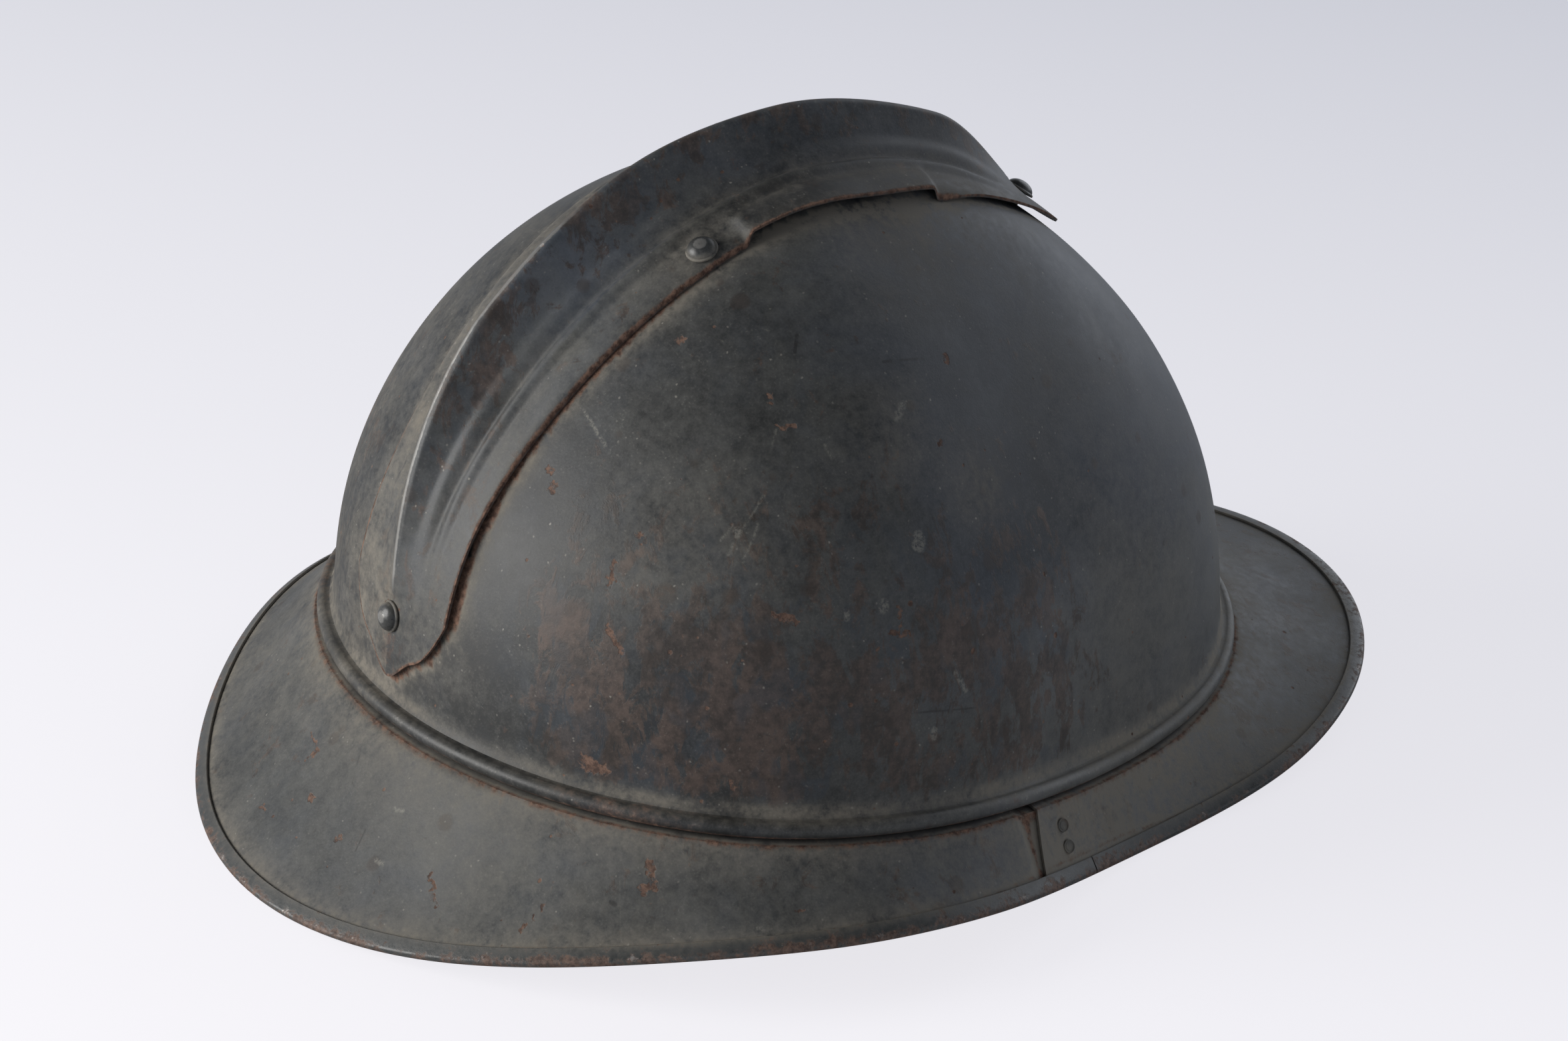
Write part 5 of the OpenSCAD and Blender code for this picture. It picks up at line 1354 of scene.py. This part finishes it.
def strap_half(lap_out):
    """From inside the fold to just past the middle of the bow."""
    total, lap = STRAIGHT_FROM + STRAIGHT_L + BOW_L, 10.0
    inside = np.linspace(-5, -0.6, 4)
    spots = [START + d * LOOP_ALONG for d in inside]
    sides, normals = [SEAM_SIDE] * 4, [LOOP_UP] * 4
    along = np.linspace(0.2, total + lap, 170)
    for d in along:
        if d <= total:
            o, w, n = strap_row(d)
        else:
            o, w, n = (v * [-1, 1, 1] for v in strap_row(2 * total - d))
        spots.append(o + n * lap_out * 0.93 * float(soft((d - total + lap + 7) / 6)))
        sides.append(w)
        normals.append(n)
    k = np.concatenate([inside, along])
    thick = STRAP_L_T * np.where(k < 0, 0.1, 1) * (1 - 0.45 * soft((k - total - lap + 3) / 3))
    width = STRAP_W * (1 - 0.05 * soft((k - total - lap + 2) / 2)) * np.where(k < 0, 0.9, 1)
    return ribbon(spots, sides, normals, width, thick, 0.9)


def make_chin_strap():
    far_end = strap_plan(46.0)
    for side, lap_out, turn_over in (("right", 1, lambda part: part), ("left", -1, mirrored)):
        half = piece("chin_strap_" + side, *turn_over(strap_half(lap_out)), STRAP_HIDE, None,
                     ("chin_strap",), "strap_leather", strap_marks, 60)
        way = 1 if side == "right" else -1
        way * far_end[0] * MM
        far_end[1] * MM
        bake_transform(half)
    total, parts = STRAIGHT_FROM + STRAIGHT_L + BOW_L, []
    for row in (-5.2, 5.2):
        for face in (-1, 1):
            points, lifts = [], []
            for d in np.arange(total - 8, total + 8.1, 2.2):
                o, w, n = strap_row(d) if d <= total else [v * [-1, 1, 1] for v in strap_row(2 * total - d)]
                points.append(o + w * row + n * face * (STRAP_L_T + 0.027))
                lifts.append(n * face)
            parts += stitch_row(points, lifts)
    piece("strap_lap_stitches", *together(*parts), THREAD, "helmet", (), "linen_lace", None, 60)


def bar(a, b, wide, thick, up, chamfer=0.28):
    """A square bar with rounded edges from a to b."""
    a, b, up = (np.asarray(v, float) for v in (a, b, up))
    ahead = unit(b - a)
    side = np.cross(ahead, up)
    w = np.linspace(0, 2 * math.pi, 24, endpoint=False) + math.pi / 24
    u = np.sign(np.cos(w)) * np.abs(np.cos(w)) ** 0.35
    v = np.sign(np.sin(w)) * np.abs(np.sin(w)) ** 0.35
    long = np.linalg.norm(b - a)
    rows = []
    for k, shrink in ((0, 0.7), (chamfer * 0.3, 0.88), (chamfer, 1), (long - chamfer, 1),
                      (long - chamfer * 0.3, 0.88), (long, 0.7)):
        rows.append(a + ahead * k + shrink * (u[:, None] * side * wide / 2 + v[:, None] * up * thick / 2))
    return skin(rows)


def make_slider():
    y, z = TURN_MID[1] - 9.0, STRAP_FOOT + STRAP_W / 2
    face, tall, long = STRAP_L_T / 2 + SLIDER_GAP, STRAP_W + 2 * SLIDER_GAP, 14.0
    parts = []
    for k in (-1, 1):
        x, at = -face - SLIDER_BAR / 2, k * (long - SLIDER_BAR) / 2
        parts.append(bar((TURN_X + x, y + at, z - tall / 2 - 0.3), (TURN_X + x, y + at, z + tall / 2 + 0.3),
                         SLIDER_BAR, SLIDER_BAR, (1, 0, 0)))
    x = face + SLIDER_BAR / 2
    parts.append(bar((TURN_X + x, y, z - tall / 2 - 0.3), (TURN_X + x, y, z + tall / 2 + 0.3), SLIDER_BAR,
                     SLIDER_BAR, (1, 0, 0)))
    for up, high in ((1, SLIDER_BAR), (-1, SLIDER_BAR / 2)):
        level = z + up * (tall / 2 + high / 2)
        parts.append(bar((TURN_X, y - long / 2, level), (TURN_X, y + long / 2, level),
                         2 * (face + SLIDER_BAR), high, (0, 0, 1), 0.5))
    piece("strap_slider_cast", *together(*parts), STEEL, "slider", ("strap_slider",), "wire_steel", None, 30)


def show_steel_parts():
    """Small steel parts whose modelled form is already right."""
    for name, finish in (("strap_loop_right", STEEL), ("strap_loop_left", STEEL),
                         ("strap_bracket_right", PAINT), ("strap_bracket_left", PAINT),
                         ("liner_clips", STEEL)):
        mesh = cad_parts[name].data
        mesh.materials.clear()
        mesh.materials.append(finish)


make_folds()
make_chin_strap()
make_slider()
show_steel_parts()


# Liner: spacers, felt, leather band, tongues and lace

LAYER_GAP, LEATHER_T, FELT_T, SPACER_D, SPACER_T = 0.3, 1.4, 2.0, 4.0, 0.4
SPACER_OUT = -STEEL_T - LAYER_GAP
FELT_OUT = SPACER_OUT - SPACER_D - LAYER_GAP
BAND_OUT = FELT_OUT - FELT_T - LAYER_GAP
BAND_FOOT, BAND_H, TONGUES, REACH = 8.0, 24.0, 7, 72.0
CROWN_TOP, CROWN_R, TONGUE_GAP, STITCH_PITCH = TOP_Z - 20.0, 90.0, 2.0, 4.2


def band_z(t, k):
    return bead_z(t) + BAND_FOOT + BAND_H * k


def rounded_wall(t, out, thick, lo, hi, puff=0.0):
    """The closed section of a soft band at turn t, with round edges."""
    k = np.linspace(lo, hi, 13)
    z = band_z(t, k)
    face = wall_at(t, z, out)
    swell = puff * np.sin(np.pi * (k - lo) / (hi - lo)) * math.sin(t * 0.31) * math.sin(t * 0.093 + 1)
    w = np.linspace(90, -90, 7)[1:-1]
    top = np.stack([face[-1] - thick / 2 + thick / 2 * sind(w), z[-1] + thick * 0.4 * cosd(w)], -1)
    low = np.stack([face[0] - thick / 2 - thick / 2 * sind(w), z[0] - thick * 0.4 * cosd(w)], -1)
    outer, inner = np.stack([face, z], -1), np.stack([face - thick - swell, z], -1)[::-1]
    return turned(t, np.concatenate([outer, top, inner, low]))


def make_spacers():
    for name, centre in (("front", 180), ("back", 0), ("left", -90), ("right", 90)):
        rows, n = [], 7 * 18
        middle, swing = SPACER_OUT - SPACER_D / 2, (SPACER_D - SPACER_T) / 2
        for i in range(n + 1):
            t = centre + lerp(-27.0, 27.0, i / n)
            z = band_z(t, np.linspace(0.12, 0.8, 5))
            r = wall_at(t, z, middle) + swing * math.cos(2 * math.pi * 7 * i / n)
            rows.append(turned(t, np.concatenate([np.stack([r + SPACER_T / 2, z], -1),
                                                  np.stack([r - SPACER_T / 2, z], -1)[::-1]])))
        piece("spacer_sheet_" + name, *skin(rows), ALLOY, "helmet", ("spacer_" + name,),
              "spacer_alloy", None, 50)


def make_bands():
    turns = np.arange(0, 360, 1.5)
    felt = [rounded_wall(t, FELT_OUT, FELT_T, 0.08, 0.92) for t in turns]
    piece("felt_band_soft", *skin(felt, True), FELT, "helmet", ("felt_band",), "grey_felt", None, 60)
    hide = [rounded_wall(t, BAND_OUT, LEATHER_T, 0, 1, 0.35) for t in turns]
    piece("liner_band_hide", *skin(hide, True), LINER_HIDE, "helmet", ("liner_band",), "liner_leather",
          lambda p: {"wear": 0.3 + 0.6 * soft((bead_z(around(p)[0]) + BAND_FOOT + 4 - p[:, 2]) / 5)}, 60)
    parts = []
    n = int(2 * math.pi * 88 / STITCH_PITCH)
    t = np.arange(n + 1) * 360 / n
    for share in (0.06, 0.88, 0.95):
        z = band_z(t, share)
        r = wall_at(t, z, BAND_OUT) - LEATHER_T - 0.02
        points = place(t, r, z)
        inwards = unit(place(t, 0.0, z) - points)
        parts += stitch_row(points, inwards, 0.62, 0.34)
    piece("liner_band_stitches", *together(*parts), THREAD, "helmet", (), "linen_lace", None, 60)


def crown_foot(t):
    return band_z(t, 1) + LAYER_GAP


def crown_at(t, s, d):
    """A point on the liner's crown at turn t and rise s, a distance d outside its middle."""
    r = (wall_at(t, crown_foot(t), BAND_OUT) - LEATHER_T / 2) * np.maximum(cosd(s), 0) ** 0.9
    z = crown_foot(t) + (CROWN_TOP - crown_foot(t)) * sind(s)
    return place(t, r + d * cosd(s), z + d * sind(s))


def make_tongues():
    foot_half = 180 / TONGUES - math.degrees(TONGUE_GAP / 2 / CROWN_R)
    v = np.concatenate([[-1, -0.985, -0.94], np.linspace(-0.85, 0.85, 15), [0.94, 0.985, 1]])
    k = np.concatenate([np.linspace(0, 0.93, 30), [0.96, 0.98, 0.993, 1]])[:, None]
    edge = np.sqrt(np.clip(1 - ((np.abs(v) - 0.94) / 0.06).clip(0, 1) ** 2, 0.04, 1))
    tip = np.sqrt(np.clip(1 - ((k - 0.96) / 0.04).clip(0, 1) ** 2, 0.04, 1))
    s = REACH * (k - 0.06 * np.abs(v) ** 3 * k)
    half = LEATHER_T / 2 * np.minimum(edge, tip)
    wear = 0.25 + 0.5 * soft((np.abs(v) - 0.8) / 0.2) + 0.3 * soft((k - 0.9) / 0.1)
    marks = np.concatenate([wear, wear[:, ::-1]], 1).reshape(-1)
    for i in range(1, TONGUES + 1):
        t = 360 / TONGUES * (i - 0.5) + foot_half * (1 - 0.3 * k ** 4) * v
        sag = (0.5 * np.sin(k * 5 + i) * np.sin(v * 2.2 + i * 1.3) - 0.5 * np.sin(np.pi * k)) * soft(k / 0.2)
        top, low = crown_at(t, s, sag + half), crown_at(t, s, sag - half)
        piece(f"liner_tongue_{i}_hide", *skin(np.concatenate([top, low[:, ::-1]], 1)), LINER_HIDE, "helmet",
              (f"liner_tongue_{i}",), "liner_leather", lambda p: {"wear": marks}, 70)


def make_lace():
    """A two-ply lace that goes over the tongues' gaps and in and out through two holes in each tip."""
    rise = REACH - 6.0
    t = np.linspace(0, 360, 841)[:-1]
    turn = (t % (360 / TONGUES)) / (360 / TONGUES) * 2 - 1
    under = soft((0.5 - np.abs(turn)) / 0.14)
    d = lerp(LEATHER_T / 2 + 1.25, -LEATHER_T / 2 - 1.15, under)
    spine = crown_at(t, rise, d)
    ahead = unit(np.roll(spine, -1, 0) - np.roll(spine, 1, 0))
    up = unit(np.cross(ahead, [0, 0, 1.0]))
    side = np.cross(ahead, up)
    turns = 2 * math.pi * 38 * np.arange(len(t)) / len(t)
    plies = []
    for half_turn in (0, math.pi):
        w = (turns + half_turn)[:, None]
        plies.append(tube(spine + 0.5 * (np.cos(w) * up + np.sin(w) * side), 0.56, 8, True))
    knot_at = crown_at(270 - 4.0, rise, 1.9)
    w = np.linspace(0, 2 * math.pi, 90, endpoint=False)
    knot = np.stack([(1.5 + 0.7 * np.cos(3 * w)) * np.cos(2 * w), (1.5 + 0.7 * np.cos(3 * w)) * np.sin(2 * w),
                     0.75 * np.sin(3 * w)], -1)
    plies.append(tube(knot_at + knot * 0.95, 0.62, 8, True))
    piece("liner_lace_twisted", *together(*plies), LINEN, "helmet", ("liner_lace",), "linen_lace", None, 70)


make_spacers()
make_bands()
make_tongues()
make_lace()


# Floor, background and light

# In metres: half the floor's side, and its depth under the helmet's lowest point
FLOOR_HALF, FLOOR_DROP = 6, 0.0002


def set_world(scene):
    """A dark ceiling over pale walls; the camera sees an even pale grey."""
    world = bpy.data.worlds.new("studio")
    scene.world = world
    world.use_nodes = True
    nodes, links = world.node_tree.nodes, world.node_tree.links
    light = nodes["Background"]
    shown = nodes.new("ShaderNodeBackground")
    shown.inputs["Color"].default_value = (0.60, 0.62, 0.68, 1)
    where, parts = nodes.new("ShaderNodeTexCoord"), nodes.new("ShaderNodeSeparateXYZ")
    ramp = nodes.new("ShaderNodeValToRGB")
    stops = ramp.color_ramp.elements
    stops[0].position, stops[0].color = 0.0, (0.58, 0.61, 0.67, 1)
    stops[1].position, stops[1].color = 0.75, (0.055, 0.058, 0.066, 1)
    links.new(where.outputs["Generated"], parts.inputs[0])
    links.new(parts.outputs["Z"], ramp.inputs[0])
    links.new(ramp.outputs[0], light.inputs["Color"])
    ray, either = nodes.new("ShaderNodeLightPath"), nodes.new("ShaderNodeMixShader")
    links.new(ray.outputs["Is Camera Ray"], either.inputs[0])
    links.new(light.outputs[0], either.inputs[1])
    links.new(shown.outputs[0], either.inputs[2])
    links.new(either.outputs[0], nodes["World Output"].inputs[0])


def set_studio():
    scene = bpy.context.scene
    scene.view_settings.view_transform = "Standard"
    mesh = bpy.data.meshes.new("table_top")
    half = FLOOR_HALF
    mesh.from_pydata([(-half, -half, 0), (half, -half, 0), (half, half, 0), (-half, half, 0)], [],
                     [(0, 1, 2, 3)])
    floor = bpy.data.objects.new("table_top", mesh)
    scene.collection.objects.link(floor)
    floor.location.z = -FLOOR_DROP
    mesh.materials.append(pale_floor())
    set_world(scene)
    for name, way, far, size, power, colour in (
            ("window_key", (0.38, 1.0, 0.29), 1.7, 1.25, 27, (1.0, 0.985, 0.96)),
            ("front_glow", (0.24, -1.0, 0.38), 2.2, 2.2, 13, (0.90, 0.94, 1.0))):
        lamp = bpy.data.lights.new(name, "AREA")
        lamp.shape, lamp.size, lamp.energy, lamp.color = "DISK", size, power, colour
        holder = bpy.data.objects.new(name, lamp)
        scene.collection.objects.link(holder)
        way = Vector(way).normalized()
        holder.location = way * far + Vector((0, 0, 0.07))
        holder.rotation_euler = way.to_track_quat("Z", "Y").to_euler()


set_studio()
